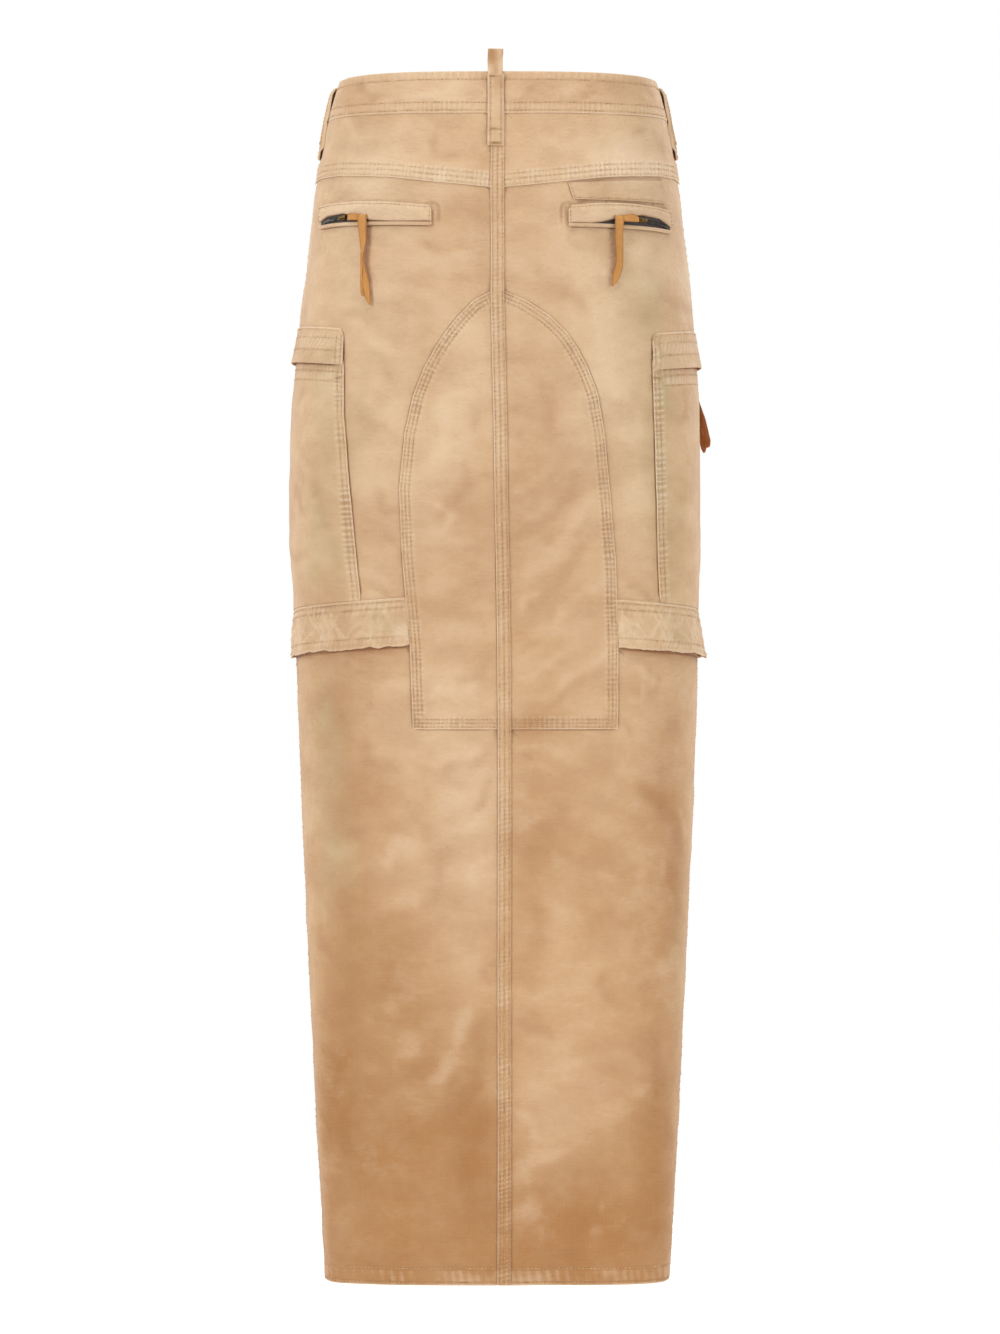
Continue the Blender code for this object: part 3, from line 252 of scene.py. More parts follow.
# Places where the wash has left the cloth pale, or kept its dye: middle, reach each way in
# metres, lean in degrees, then how pale and how ochre the cloth is there
Tone = namedtuple("Tone", "way drop across down lean pale ochre")
TONES = (
    (-0.114, 0.079, 0.038, 0.032, 0, 0.41, 0.00),
    (-0.141, 0.108, 0.019, 0.047, 0, 0.19, 0.00),
    (-0.037, 0.020, 0.038, 0.015, 0, 0.30, 0.00),
    (0.101, 0.080, 0.040, 0.025, 0, 0.39, 0.00),
    (-0.094, 0.111, 0.026, 0.028, 0, 0.25, 0.00),
    (-0.096, 0.266, 0.032, 0.104, 0, 0.25, 0.00),
    (-0.037, 0.305, 0.021, 0.090, 17, 0.41, 0.00),
    (0.111, 0.282, 0.025, 0.123, -4, 0.30, 0.00),
    (0.129, 0.350, 0.017, 0.057, 0, 0.14, 0.00),
    (-0.049, 0.556, 0.045, 0.057, 0, 0.34, 0.00),
    (-0.019, 0.625, 0.030, 0.090, 5, 0.28, 0.00),
    (-0.024, 0.747, 0.024, 0.090, 8, 0.16, 0.00),
    (0.063, 0.886, 0.050, 0.042, -20, 0.30, 0.00),
    (0.028, 0.834, 0.019, 0.030, 0, 0.08, 0.00),
    (0.089, 0.569, 0.028, 0.024, 0, 0.19, 0.00),
    (-0.058, 0.677, 0.047, 0.057, 0, 0.19, 0.00),
    (-0.163, 0.600, 0.019, 0.047, 0, 0.17, 0.00),
    (0.089, 0.198, 0.024, 0.057, 0, 0.19, 0.00),
    (-0.133, 0.187, 0.024, 0.038, 0, 0.17, 0.00),
    (0.107, 0.488, 0.025, 0.025, 0, 0.22, 0.00),
    (-0.011, 0.147, 0.011, 0.057, 0, 0.00, 0.50),
    (-0.036, 0.125, 0.028, 0.038, 0, 0.00, 0.27),
    (0.000, 0.228, 0.011, 0.043, 5, 0.00, 0.45),
    (0.025, 0.318, 0.028, 0.076, 0, 0.00, 0.27),
    (0.057, 0.351, 0.026, 0.085, 8, 0.00, 0.23),
    (-0.013, 0.420, 0.038, 0.057, 20, 0.00, 0.27),
    (-0.087, 0.445, 0.021, 0.047, 0, 0.00, 0.36),
    (-0.160, 0.419, 0.026, 0.052, 0, 0.00, 0.23),
    (-0.145, 0.531, 0.021, 0.043, 0, 0.00, 0.45),
    (-0.142, 0.591, 0.025, 0.057, 0, 0.00, 0.36),
    (-0.113, 0.652, 0.028, 0.043, 10, 0.00, 0.23),
    (0.037, 0.560, 0.038, 0.013, 0, 0.00, 0.54),
    (0.037, 0.660, 0.040, 0.047, -15, 0.00, 0.41),
    (0.159, 0.679, 0.021, 0.104, 0, 0.00, 0.54),
    (0.140, 0.609, 0.024, 0.047, 0, 0.00, 0.41),
    (-0.091, 0.786, 0.025, 0.047, -25, 0.00, 0.45),
    (-0.134, 0.791, 0.021, 0.104, 0, 0.00, 0.41),
    (-0.148, 0.879, 0.028, 0.057, 0, 0.00, 0.36),
    (-0.017, 0.930, 0.021, 0.085, 0, 0.00, 0.45),
    (-0.085, 0.895, 0.057, 0.057, 0, 0.00, 0.27),
    (0.139, 0.888, 0.019, 0.104, 0, 0.00, 0.36),
    (0.089, 0.996, 0.040, 0.032, -10, 0.00, 0.50),
    (0.041, 1.028, 0.038, 0.021, 0, 0.00, 0.41),
    (-0.065, 0.407, 0.009, 0.057, 0, 0.00, 0.27),
    (0.111, 0.712, 0.057, 0.038, 0, 0.00, 0.14),
    (-0.032, 0.060, 0.028, 0.019, 0, 0.00, 0.18),
    (0.036, 0.023, 0.032, 0.015, 0, 0.00, 0.25),
    (-0.139, 0.013, 0.021, 0.015, 0, 0.00, 0.27),
    (0.205, 0.023, 0.013, 0.038, 0, 0.00, 0.18),
    (-0.132, 0.157, 0.040, 0.062, 0, 0.12, 0.00),
    (0.132, 0.160, 0.036, 0.060, 0, 0.26, 0.00),
    (0.083, 0.288, 0.024, 0.060, 6, 0.28, 0.00),
    (0.128, 0.072, 0.036, 0.026, 0, 0.26, 0.00),
    (-0.134, 0.302, 0.026, 0.060, 0, 0.18, 0.00),
    (0.064, 0.152, 0.026, 0.045, 0, 0.16, 0.00),
    (-0.084, 0.752, 0.032, 0.050, 0, 0.00, 0.30),
    (-0.036, 0.655, 0.022, 0.050, 0, 0.00, 0.22),
    (-0.034, 0.400, 0.036, 0.050, 0, 0.00, 0.18),
    (-0.142, 0.905, 0.030, 0.070, 0, 0.00, 0.18),
    (0.030, 1.000, 0.030, 0.035, 0, 0.00, 0.20),
    (0.235, 0.150, 0.030, 0.050, 10, 0.45, 0.00),
    (-0.238, 0.140, 0.028, 0.045, -8, 0.50, 0.00),
    (0.300, 0.560, 0.030, 0.110, -6, 0.50, 0.00),
    (-0.290, 0.640, 0.026, 0.090, 7, 0.45, 0.00),
    (0.390, 0.330, 0.040, 0.090, 14, 0.55, 0.00),
    (-0.400, 0.280, 0.036, 0.080, -12, 0.50, 0.00),
    (0.420, 0.760, 0.030, 0.100, 6, 0.60, 0.00),
    (-0.370, 0.860, 0.024, 0.060, -10, 0.50, 0.00),
    (0.455, 0.130, 0.030, 0.040, 0, 0.40, 0.00),
    (0.260, 0.440, 0.030, 0.050, 0, 0.00, 0.30),
    (-0.265, 0.430, 0.030, 0.060, 0, 0.00, 0.35),
    (-0.440, 0.520, 0.040, 0.080, 8, 0.00, 0.35),
    (0.440, 0.540, 0.030, 0.060, -10, 0.00, 0.40),
    (0.350, 0.820, 0.032, 0.080, 12, 0.00, 0.45),
    (-0.310, 0.960, 0.040, 0.050, 0, 0.00, 0.40),
    (0.270, 0.900, 0.026, 0.090, 0, 0.00, 0.40),
    (-0.340, 0.200, 0.022, 0.050, 16, 0.00, 0.30),
    (0.350, 0.190, 0.020, 0.050, -14, 0.00, 0.30),
    (-0.460, 0.730, 0.026, 0.060, 0, 0.00, 0.30),
    (-0.0018, 0.0100, 0.007, 0.010, 0, -0.15, 0.50),
    (-0.158, 0.285, 0.018, 0.035, 0, 0.32, 0.00),
    (-0.140, 0.016, 0.022, 0.016, 0, -0.25, 0.15),
)

# Khaki stains, by way, drop, half width, half height and strength
STAINS = (
    (-0.150, 0.335, 0.016, 0.060, 0.45),
    (-0.166, 0.400, 0.014, 0.040, 0.50),
    (-0.138, 0.420, 0.012, 0.030, 0.35),
    (-0.160, 0.262, 0.020, 0.030, 0.22),
    (0.146, 0.300, 0.014, 0.090, 0.50),
    (0.160, 0.400, 0.014, 0.050, 0.45),
    (0.128, 0.210, 0.020, 0.050, 0.35),
    (-0.155, 0.590, 0.016, 0.060, 0.55),
    (-0.143, 0.680, 0.018, 0.045, 0.40),
    (-0.118, 0.300, 0.014, 0.040, 0.22),
    (0.112, 0.140, 0.022, 0.030, 0.20),
    (0.172, 0.780, 0.012, 0.060, 0.30),
    (-0.094, 0.475, 0.020, 0.012, 0.35),
    (0.168, 0.484, 0.016, 0.010, 0.40),
    (0.265, 0.330, 0.030, 0.060, 0.35),
    (-0.275, 0.340, 0.028, 0.055, 0.35),
    (0.380, 0.480, 0.030, 0.060, 0.30),
    (-0.420, 0.380, 0.034, 0.060, 0.30),
    (-0.350, 0.700, 0.030, 0.060, 0.30),
    (0.300, 0.220, 0.030, 0.020, 0.35),
    (0.160, 0.274, 0.012, 0.024, 0.50),
)

# What the wash has left all round, as (drop, pale, ochre): most dye stays towards the hem
WASH = (
    (0.00, 0.32, 0.00),
    (0.38, 0.28, 0.00),
    (0.55, 0.10, 0.10),
    (0.75, 0.04, 0.16),
    (0.85, 0.00, 0.38),
    (0.95, 0.00, 0.66),
    (1.045, 0.00, 0.92),
)

# The two cross seams, as (way, drop)
WAIST_SEAM = ((0.0, 0.0362), (0.100, 0.0352), (0.200, 0.0325))
YOKE_SEAM = ((0.0, 0.0905), (0.054, 0.0848), (0.095, 0.0795), (0.150, 0.0752), (0.220, 0.0735))

# Seat panel: the reach of each half from the centre back, as (drop, left, right)
SEAT = (
    (0.1885, 0.0004, 0.0004),
    (0.1985, 0.0196, 0.0245),
    (0.2112, 0.0318, 0.0446),
    (0.2257, 0.0434, 0.0598),
    (0.2400, 0.0528, 0.0700),
    (0.2560, 0.0615, 0.0788),
    (0.2790, 0.0706, 0.0882),
    (0.3120, 0.0778, 0.0944),
    (0.3597, 0.0824, 0.0992),
    (0.4200, 0.0798, 0.1040),
    (0.4913, 0.0745, 0.1048),
    (0.5640, 0.0722, 0.1040),
)

# Centre back seam band, as (drop, left edge, right edge), and its climb over what it crosses
SEAM_BAND = (
    (0.0368, -0.0058, 0.0055),
    (0.1890, -0.0053, 0.0058),
    (0.3000, -0.0015, 0.0096),
    (0.4200, 0.0006, 0.0117),
    (LENGTH - SEAM_GAP, 0.0003, 0.0117),
)
SEAM_LIFT = (
    (0.0785, ON_BODY),
    (0.0905, ON_PANEL),
    (0.1024, ON_PANEL),
    (0.1120, ON_BODY),
    (0.1780, ON_BODY),
    (0.1870, ON_PANEL),
    (0.5655, ON_PANEL),
    (0.5760, ON_BODY),
)

# Cargo pockets, their flaps and the bands below them
POCKET_EDGE = (
    (0.2440, 0.1373, 0.1409),
    (0.2955, 0.1361, 0.1437),
    (0.3668, 0.1280, 0.1459),
    (0.4500, 0.1183, 0.1468),
)
POCKET_REACH = 0.085
POCKET_TOP = 0.2400
POCKET_PUFF = {"left": 0.0030, "right": 0.0020}
PUFF_MARGIN = 0.25
FLAP_TOP = 0.2130
FLAP_FOOT = 0.2440
FLAP_SKEW = 0.0075
FLAP_STAND = 0.0030
FLAP_CORNER = 0.007
FLAP_ENDS = (0.226, 0.2515)  # drops between which the flap's ends are sewn
FLAP_LOWERED = {"left": 0.0, "right": 0.0042}
WELT_CORNER = 0.004
BAND_TOP = 0.4515
BAND_HEIGHT = 0.0405
BAND_SAG = 0.0105
BAND_REACH = 0.095
BAND_STAND = {"left": 0.0022, "right": 0.0058}
BAND_LEAST_STAND = 0.0012

# Zip pockets: places along each zip from its inner end, as (way, welt top, welt foot, piping)
ZIPS = {
    "left": (
        (0.0562, 0.1172, 0.1303, 0.1311),
        (0.0700, 0.1157, 0.1304, 0.1306),
        (0.0935, 0.1130, 0.1296, 0.1298),
        (0.1130, 0.1119, 0.1280, 0.1291),
        (0.1222, 0.1113, 0.1234, 0.1288),
        (0.1405, 0.1109, 0.1208, 0.1283),
        (0.1610, 0.1110, 0.1215, 0.1281),
        (0.1775, 0.1116, 0.1262, 0.1283),
    ),
    "right": (
        (0.0610, 0.1172, 0.1317, 0.1319),
        (0.0800, 0.1152, 0.1316, 0.1318),
        (0.0895, 0.1142, 0.1304, 0.1318),
        (0.1090, 0.1136, 0.1256, 0.1320),
        (0.1295, 0.1138, 0.1228, 0.1322),
        (0.1505, 0.1148, 0.1243, 0.1327),
        (0.1700, 0.1162, 0.1312, 0.1334),
    ),
}
PIPING_HEIGHT = 0.0032
PATCH_TOP = ((0.0610, 0.0975), (0.1600, 0.0905))
PATCH_FOOT = ((0.0655, 0.1112), (0.1630, 0.1102))

# Belt loops
LOOP_WIDTH = 0.0135
LOOP_THICK = 0.0018
LOOP_STAND = 0.0045
LOOP_DROPS = (0.0035, 0.009, 0.020, 0.034, 0.050, 0.060, 0.0652)
# The piece that each loop's foot is sewn on
LOOP_FOOT_ON = {
    "belt_loop_back": "back_seam_band",
    "belt_loop_side_left": "yoke_left",
    "belt_loop_side_right": "yoke_right",
    "belt_loop_front_left": "front_panel_left",
    "belt_loop_front_right": "front_panel_right",
}
# How far round each loop stands: up to 1 as a share of the way to the side seam, and from there on
# towards the centre front. Then a shift, and the lifts of its sewn ends.
Loop = namedtuple("Loop", "name round shift top_seat foot_seat")
LOOPS = (
    Loop("belt_loop_back", 0.0, -0.0018, 0.0027, 0.0017),
    Loop("belt_loop_side_left", -1.0, 0.002, 0.0014, 0.0027),
    Loop("belt_loop_side_right", 1.0, -0.002, 0.0014, 0.0027),
    Loop("belt_loop_front_left", -1.6, 0.0, 0.0014, 0.0004),
    Loop("belt_loop_front_right", 1.6, 0.0, 0.0014, 0.0004),
)

# Fly and button
BAND_OVERLAP = 0.0345
UNDERLAP = BAND_LIFT + CLOTH + SEAM_GAP
FLY_WIDTH = 0.036
FLY_FOOT = 0.205
FLY_CURVE = 0.045
BUTTON_RADIUS = 0.0085
BUTTON_THICK = 0.0028
BUTTON_PARTS = 10  # the button is one of this many parts of a front panel from the centre front

# The room: the camera's height, the floor and the light
EYE = -0.511
FLOOR = -1.20
ROOM_LIGHT = 0.35
FLOOR_SIZE = 3.6
FLOOR_GLOW = 0.25
CAMERA_AWAY = 4.0
CAMERA_LENS = 122.67  # millimetres, on a sensor 36 mm wide
# name, place, size and power
LIGHTS = (
    ("key", (-2.2, -2.3, 0.9), 1.4, 44),
    ("fill", (2.6, -2.2, 0.1), 2.0, 36),
    ("front_key", (2.2, 2.6, 0.9), 1.6, 48),
    ("front_fill", (-2.6, 1.8, 0.2), 2.0, 32),
    ("top", (0.0, -0.3, 2.2), 2.4, 40),
)

# Strips of suede and the hanger tab, as (way, drop, lift, half width, lean, turn). The lean turns the
# width from level towards upright, and the turn twists it about the strip's own line, in degrees.
SUEDE = 0.0016
# Each zip pull is a wrap round its slider, a broad tail and, on the wearer's left, a thin cut end
ZIP_PULL_LEFT = (
    (
        (-0.1330, 0.1250, 0.0046, 0.0018, 90, 0),
        (-0.1315, 0.1250, 0.0054, 0.0028, 84, 8),
        (-0.1270, 0.1252, 0.0057, 0.0030, 96, -10),
        (-0.1225, 0.1255, 0.0055, 0.0027, 86, 8),
        (-0.1190, 0.1258, 0.0046, 0.0020, 90, 0),
    ),
    (
        (-0.1172, 0.1236, 0.0046, 0.0036, 0, 0),
        (-0.1173, 0.1270, 0.0062, 0.0043, 0, -4),
        (-0.1172, 0.1340, 0.0058, 0.0044, 0, 8),
        (-0.1168, 0.1470, 0.0048, 0.0041, -3, 16),
        (-0.1170, 0.1570, 0.0050, 0.0034, -2, 44),
        (-0.1164, 0.1640, 0.0052, 0.0028, -4, 60),
        (-0.1150, 0.1740, 0.0044, 0.0029, -8, 22),
        (-0.1132, 0.1860, 0.0038, 0.0030, -10, -8),
        (-0.1116, 0.1960, 0.0036, 0.0024, -14, 0),
        (-0.1106, 0.2010, 0.0034, 0.0006, -20, 0),
    ),
    (
        (-0.1176, 0.1560, 0.0040, 0.0020, 0, 0),
        (-0.1184, 0.1660, 0.0036, 0.0017, 4, 20),
        (-0.1186, 0.1780, 0.0033, 0.0014, 0, 8),
        (-0.1178, 0.1900, 0.0031, 0.0012, -6, 0),
        (-0.1174, 0.1935, 0.0030, 0.0005, -6, 0),
    ),
)
ZIP_PULL_RIGHT = (
    (
        (0.1248, 0.1276, 0.0046, 0.0018, -90, 0),
        (0.1230, 0.1274, 0.0054, 0.0026, -84, 8),
        (0.1180, 0.1268, 0.0058, 0.0032, -96, -10),
        (0.1120, 0.1272, 0.0056, 0.0030, -86, 8),
        (0.1075, 0.1276, 0.0046, 0.0024, -90, 0),
    ),
    (
        (0.1044, 0.1252, 0.0046, 0.0034, 0, 0),
        (0.1046, 0.1288, 0.0062, 0.0041, 0, 6),
        (0.1044, 0.1360, 0.0058, 0.0042, 0, -8),
        (0.1048, 0.1480, 0.0046, 0.0044, 0, -16),
        (0.1054, 0.1580, 0.0044, 0.0047, 2, -22),
        (0.1050, 0.1660, 0.0042, 0.0046, 10, -20),
        (0.1034, 0.1740, 0.0038, 0.0038, 18, -8),
        (0.1012, 0.1810, 0.0036, 0.0026, 26, 0),
        (0.0990, 0.1858, 0.0034, 0.0006, 32, 0),
    ),
)
SIDE_PULL = (
    (0.2700, 0.2640, 0.0045, 0.0040, 0, 0),
    (0.2690, 0.2730, 0.0052, 0.0043, 0, 0),
    (0.2665, 0.2850, 0.0072, 0.0047, -6, -16),
    (0.2630, 0.3010, 0.0102, 0.0050, -10, -34),
    (0.2608, 0.3120, 0.0120, 0.0049, -12, -42),
    (0.2600, 0.3172, 0.0128, 0.0026, -12, -42),
)
SIDE_PULL_TIP = (
    (0.2640, 0.3000, 0.0082, 0.0030, -4, -30),
    (0.2636, 0.3080, 0.0092, 0.0034, -2, -34),
    (0.2634, 0.3170, 0.0100, 0.0032, 2, -38),
    (0.2633, 0.3215, 0.0103, 0.0012, 4, -38),
)
HANGER_WAY = -0.0022
HANGER_HALF = 0.0064
HANGER_TAB = tuple(
    (HANGER_WAY, drop, lift, HANGER_HALF, 0, 0)
    for drop, lift in (
        (0.0200, -0.0022),
        (0.0010, -0.0024),
        (-0.0020, -0.0023),
        (-0.0080, -0.0010),
        (-0.0172, -0.0008),
        (-0.0189, -0.0004),
        (-0.0194, 0.0004),
        (-0.0189, 0.0012),
        (-0.0172, 0.0016),
        (-0.0080, 0.0015),
        (-0.0020, 0.0019),
        (0.0100, 0.0019),
    )
)
# Edges that turn by more than this many degrees are shaded sharp
SHARP_CLOTH = 50
SHARP_METAL = 40
SLIDERS = {"left": (-0.1412, 0.1246), "right": (0.1312, 0.1272)}
SIGN = {"left": -1, "right": 1}

# The body's tables are kept at these steps
WAY_STEP = 0.002
DROP_STEP = 0.004
WAYS = np.arange(-270, 271) * WAY_STEP
DROPS = np.arange(-2, int(LENGTH / DROP_STEP) + 4) * DROP_STEP


# The body


def smooth(x):
    """0 to 1 with level ends."""
    x = np.clip(x, 0.0, 1.0)
    return x * x * (3 - 2 * x)


def along_table(rows, x, field=1):
    """Straight reading of one field in rows that begin with x."""
    return np.interp(x, [row[0] for row in rows], [row[field] for row in rows])


def section_values(drop):
    """The six measures of the section at this drop, by cubic curves through SECTIONS."""
    table = np.array(SECTIONS)
    places, values = table[:, 0], table[:, 1:]
    last = len(places) - 1
    before = np.maximum(np.arange(last + 1) - 1, 0)
    after = np.minimum(np.arange(last + 1) + 1, last)
    slope = (values[after] - values[before]) / (places[after] - places[before])[:, None]
    drop = min(max(drop, 0.0), LENGTH)
    k = min(int(np.searchsorted(places, drop, side="right")) - 1, last - 1)
    height = places[k + 1] - places[k]
    t = (drop - places[k]) / height
    return (
        (2 * t**3 - 3 * t**2 + 1) * values[k]
        + (t**3 - 2 * t**2 + t) * height * slope[k]
        + (3 * t**2 - 2 * t**3) * values[k + 1]
        + (t**3 - t**2) * height * slope[k + 1]
    )


def body_tables():
    """Points, outward directions, side seam and half way round, for every WAYS and DROPS."""
    angle = np.linspace(0, math.pi, 721)
    points = np.zeros((len(DROPS), len(WAYS), 3))
    sides, halves = [], []
    for row, drop in enumerate(DROPS):
        width, back, front, square, sway, set_back = section_values(drop)
        power = 2 / square
        depth = np.where(angle < math.pi / 2, back, front)
        x = width * np.abs(np.sin(angle)) ** power
        y = -np.sign(np.cos(angle)) * depth * np.abs(np.cos(angle)) ** power
        way = np.concatenate([[0], np.cumsum(np.hypot(np.diff(x), np.diff(y)))])
        sides.append(way[360])
        halves.append(way[-1])
        near = np.where(np.abs(WAYS) > way[-1], 2 * way[-1] - np.abs(WAYS), np.abs(WAYS))
        sign = np.sign(WAYS) * np.where(np.abs(WAYS) > way[-1], -1, 1)
        points[row, :, 0] = sign * np.interp(near, way, x) + sway
        points[row, :, 1] = np.interp(near, way, y) - set_back
        points[row, :, 2] = -drop
    out = np.cross(np.gradient(points, axis=0), np.gradient(points, axis=1))
    out /= np.linalg.norm(out, axis=2, keepdims=True)
    return points, out, np.array(sides), np.array(halves)


BODY, OUT, SIDES, HALVES = body_tables()
EDGE_FALL = 1.6  # how steeply a fold or a crease falls away from its middle line
NOISE = np.random.RandomState(11).rand(64, 64) * 2 - 1


def side_way(drop):
    """The way of the side seam."""
    return np.interp(drop, DROPS, SIDES)


def half_way(drop):
    """The way of the centre front."""
    return np.interp(drop, DROPS, HALVES)


def mottle(x, y, seed):
    """Smooth uneven values from -1 to 1, one hump in about every unit of x and y."""
    x, y = np.broadcast_arrays(np.asarray(x, float) + 7.31 * seed, np.asarray(y, float) + 3.17 * seed)
    i, j = np.floor(x).astype(int), np.floor(y).astype(int)
    u, v = smooth(x - i), smooth(y - j)
    near = NOISE[i % 64, j % 64] * (1 - u) + NOISE[(i + 1) % 64, j % 64] * u
    far = NOISE[i % 64, (j + 1) % 64] * (1 - u) + NOISE[(i + 1) % 64, (j + 1) % 64] * u
    return near * (1 - v) + far * v


def read(table, way, drop):
    """Smooth reading of a table kept at every WAYS and DROPS."""
    across = np.clip((way - WAYS[0]) / WAY_STEP, 1.001, len(WAYS) - 2.001)
    down = np.clip((drop - DROPS[0]) / DROP_STEP, 1.001, len(DROPS) - 2.001)
    i, j = across.astype(int), down.astype(int)
    total = np.zeros(i.shape + (3,))
    for a, share_a in enumerate(spline_shares(across - i)):
        for b, share_b in enumerate(spline_shares(down - j)):
            total += (share_a * share_b)[..., None] * table[j + b - 1, i + a - 1]
    return total


def spline_shares(t):
    """Shares of four neighbours in a smooth curve through the middle two."""
    return (
        (2 * t**2 - t**3 - t) / 2,
        (3 * t**3 - 5 * t**2 + 2) / 2,
        (4 * t**2 - 3 * t**3 + t) / 2,
        (t**3 - t**2) / 2,
    )


def crease_relief(way, drop):
    """How far the creases and the cloth's own unevenness move it out."""
    lift = np.zeros(np.shape(way))
    for k, crease in enumerate(map(Crease._make, CREASES)):
        run = np.array([crease.way_b - crease.way_a, crease.drop_b - crease.drop_a])
        length = np.hypot(*run)
        run /= length
        along = (way - crease.way_a) * run[0] + (drop - crease.drop_a) * run[1]
        bend = crease.width * 0.0006 * np.sin(along / length * 5.5 + k)
        across = (way - crease.way_a) * run[1] - (drop - crease.drop_a) * run[0] + bend
        along = along / length
        close = (np.abs(across) < crease.width * 0.0025) & (along > -0.2) & (along < 1.2)
        swell = 0.75 + 0.25 * np.sin(along[close] * 9 + k * 1.7)
        fade = smooth((along[close] + 0.2) / 0.45) * smooth((1.2 - along[close]) / 0.45) * swell
        across = across[close] / (crease.width / 1000)
        lift[close] -= crease.depth / 1000 * fade * np.exp(-across * across * EDGE_FALL)
    lift += 0.00042 * mottle(way / 0.034, drop / 0.021, 1) + 0.00024 * mottle(way / 0.013, drop / 0.007, 2)
    return lift


def relief(way, drop):
    """How far folds and creases move every layer out."""
    lift = crease_relief(way, drop)
    for fold in map(Fold._make, FOLDS):
        along = (drop - fold.top) / (fold.foot - fold.top)
        across = (way - fold.way_top - (fold.way_foot - fold.way_top) * along) / fold.width
        fade = smooth(along / 0.35) * smooth((1.25 - along) / 0.35)
        lift -= fold.depth * fade * np.exp(-across * across * EDGE_FALL)
    front = smooth((half_way(drop) - np.abs(way)) / 0.02)
    return lift * front * smooth((drop + 0.02) / 0.05)


def at(way, drop, lift):
    """Points at a lift off the body. Above the waist the body goes straight up."""
    way, drop, lift = np.broadcast_arrays(*[np.asarray(v, float) for v in (way, drop, lift)])
    below = np.maximum(drop, 0)
    out = read(OUT, way, below)
    out /= np.linalg.norm(out, axis=-1, keepdims=True)
    point = read(BODY, way, below) + out * (lift + relief(way, below))[..., None]
    point[..., 2] += np.maximum(-drop, 0)
    return point


def facing(way, drop):
    """Unit vectors along the body, down it and out of it."""
    near = 0.004
    drop = np.maximum(drop, 0)
    along = read(BODY, way + near, drop) - read(BODY, way - near, drop)
    along /= np.linalg.norm(along, axis=-1, keepdims=True)
    out = read(OUT, way, drop)
    out /= np.linalg.norm(out, axis=-1, keepdims=True)
    return along, np.cross(out, along), out


# Seams


Seam = namedtuple("Seam", "line side rows reach pitch height lean seed strong pale")


def seam(line, rows, side=1, reach=0.0, pitch=0.0062, height=0.0005, lean=0.0, seed=1, **more):
    """A sewn line. `rows` are the distances of the stitch rows from it, on the side named."""
    strong = more.get("strong", lambda way, drop: 1.0)
    line = resample(np.array(line, float), 0.003)
    reach = reach or (max(rows) + 0.0015 if rows else 0.003)
    return Seam(line, side, rows, reach, pitch, height, lean, seed, strong, more.get("pale", 1.0))


def resample(line, step):
    """The same line with points at even steps."""
    lengths = np.hypot(*np.diff(line, axis=0).T)
    run = np.concatenate([[0], np.cumsum(lengths)])
    count = max(int(round(run[-1] / step)), 1)
    wanted = np.linspace(0, run[-1], count + 1)
    return np.stack([np.interp(wanted, run, line[:, k]) for k in (0, 1)], axis=1)


def from_line(line, way, drop):
    """Distance of each place from a line, how far along it that is, and on which side."""
    best = np.full(way.shape, 1.0)
    along = np.zeros(way.shape)
    side = np.ones(way.shape)
    run = 0.0
    for a, b in zip(line, line[1:]):
        step = b - a
        length = np.hypot(*step)
        if length == 0:
            continue
        x, y = way - a[0], drop - a[1]
        t = np.clip((x * step[0] + y * step[1]) / length**2, 0, 1)
        distance = np.hypot(x - t * step[0], y - t * step[1])
        nearer = distance < best
        best[nearer] = distance[nearer]
        along[nearer] = run + t[nearer] * length
        side[nearer] = np.where(x * step[1] - y * step[0] < 0, -1.0, 1.0)[nearer]
        run += length
    return best, along, side


DENT_HALF = 0.0011  # half the breadth of the dent that a row of stitches or a seam leaves
ROW_HALF = 0.0017  # half the breadth of the cloth that a row of stitches draws in


def near_line(line, margin, way, drop):
    """Which places lie in the box round a line, let out by the margin."""
    low, high = line.min(axis=0) - margin, line.max(axis=0) + margin
    return (way > low[0]) & (way < high[0]) & (drop > low[1]) & (drop < high[1])


def keep_nearer(near, nearer, fields):
    """Sets each field, at the places near a line, to its values where this line is the nearest."""
    for field, values in fields:
        kept = field[near]
        kept[nearer] = values[nearer]
        field[near] = kept


def row_places(rows):
    """Distances and values for reading how near each row is: whole numbers lie on the rows."""
    count = len(rows)
    places, values = [0.0], [count + 0.5]
    for k, row in enumerate(rows):
        half = ROW_HALF
        if k:
            half = min(half, (row - rows[k - 1]) / 2)
        places.append(max(row - half, places[-1]))
        values.append(count - k + 0.5)
        after = ROW_HALF
        if k + 1 < count:
            after = min(after, (rows[k + 1] - row) / 2)
        places += [row, row + after]
        values += [count - k, count - k - 0.5]
    return places, values


def pucker_ridge(turn):
    """The rounded ridges of the puckers, one to each whole turn."""
    return (0.5 + 0.5 * np.cos(2 * math.pi * turn)) ** 1.4


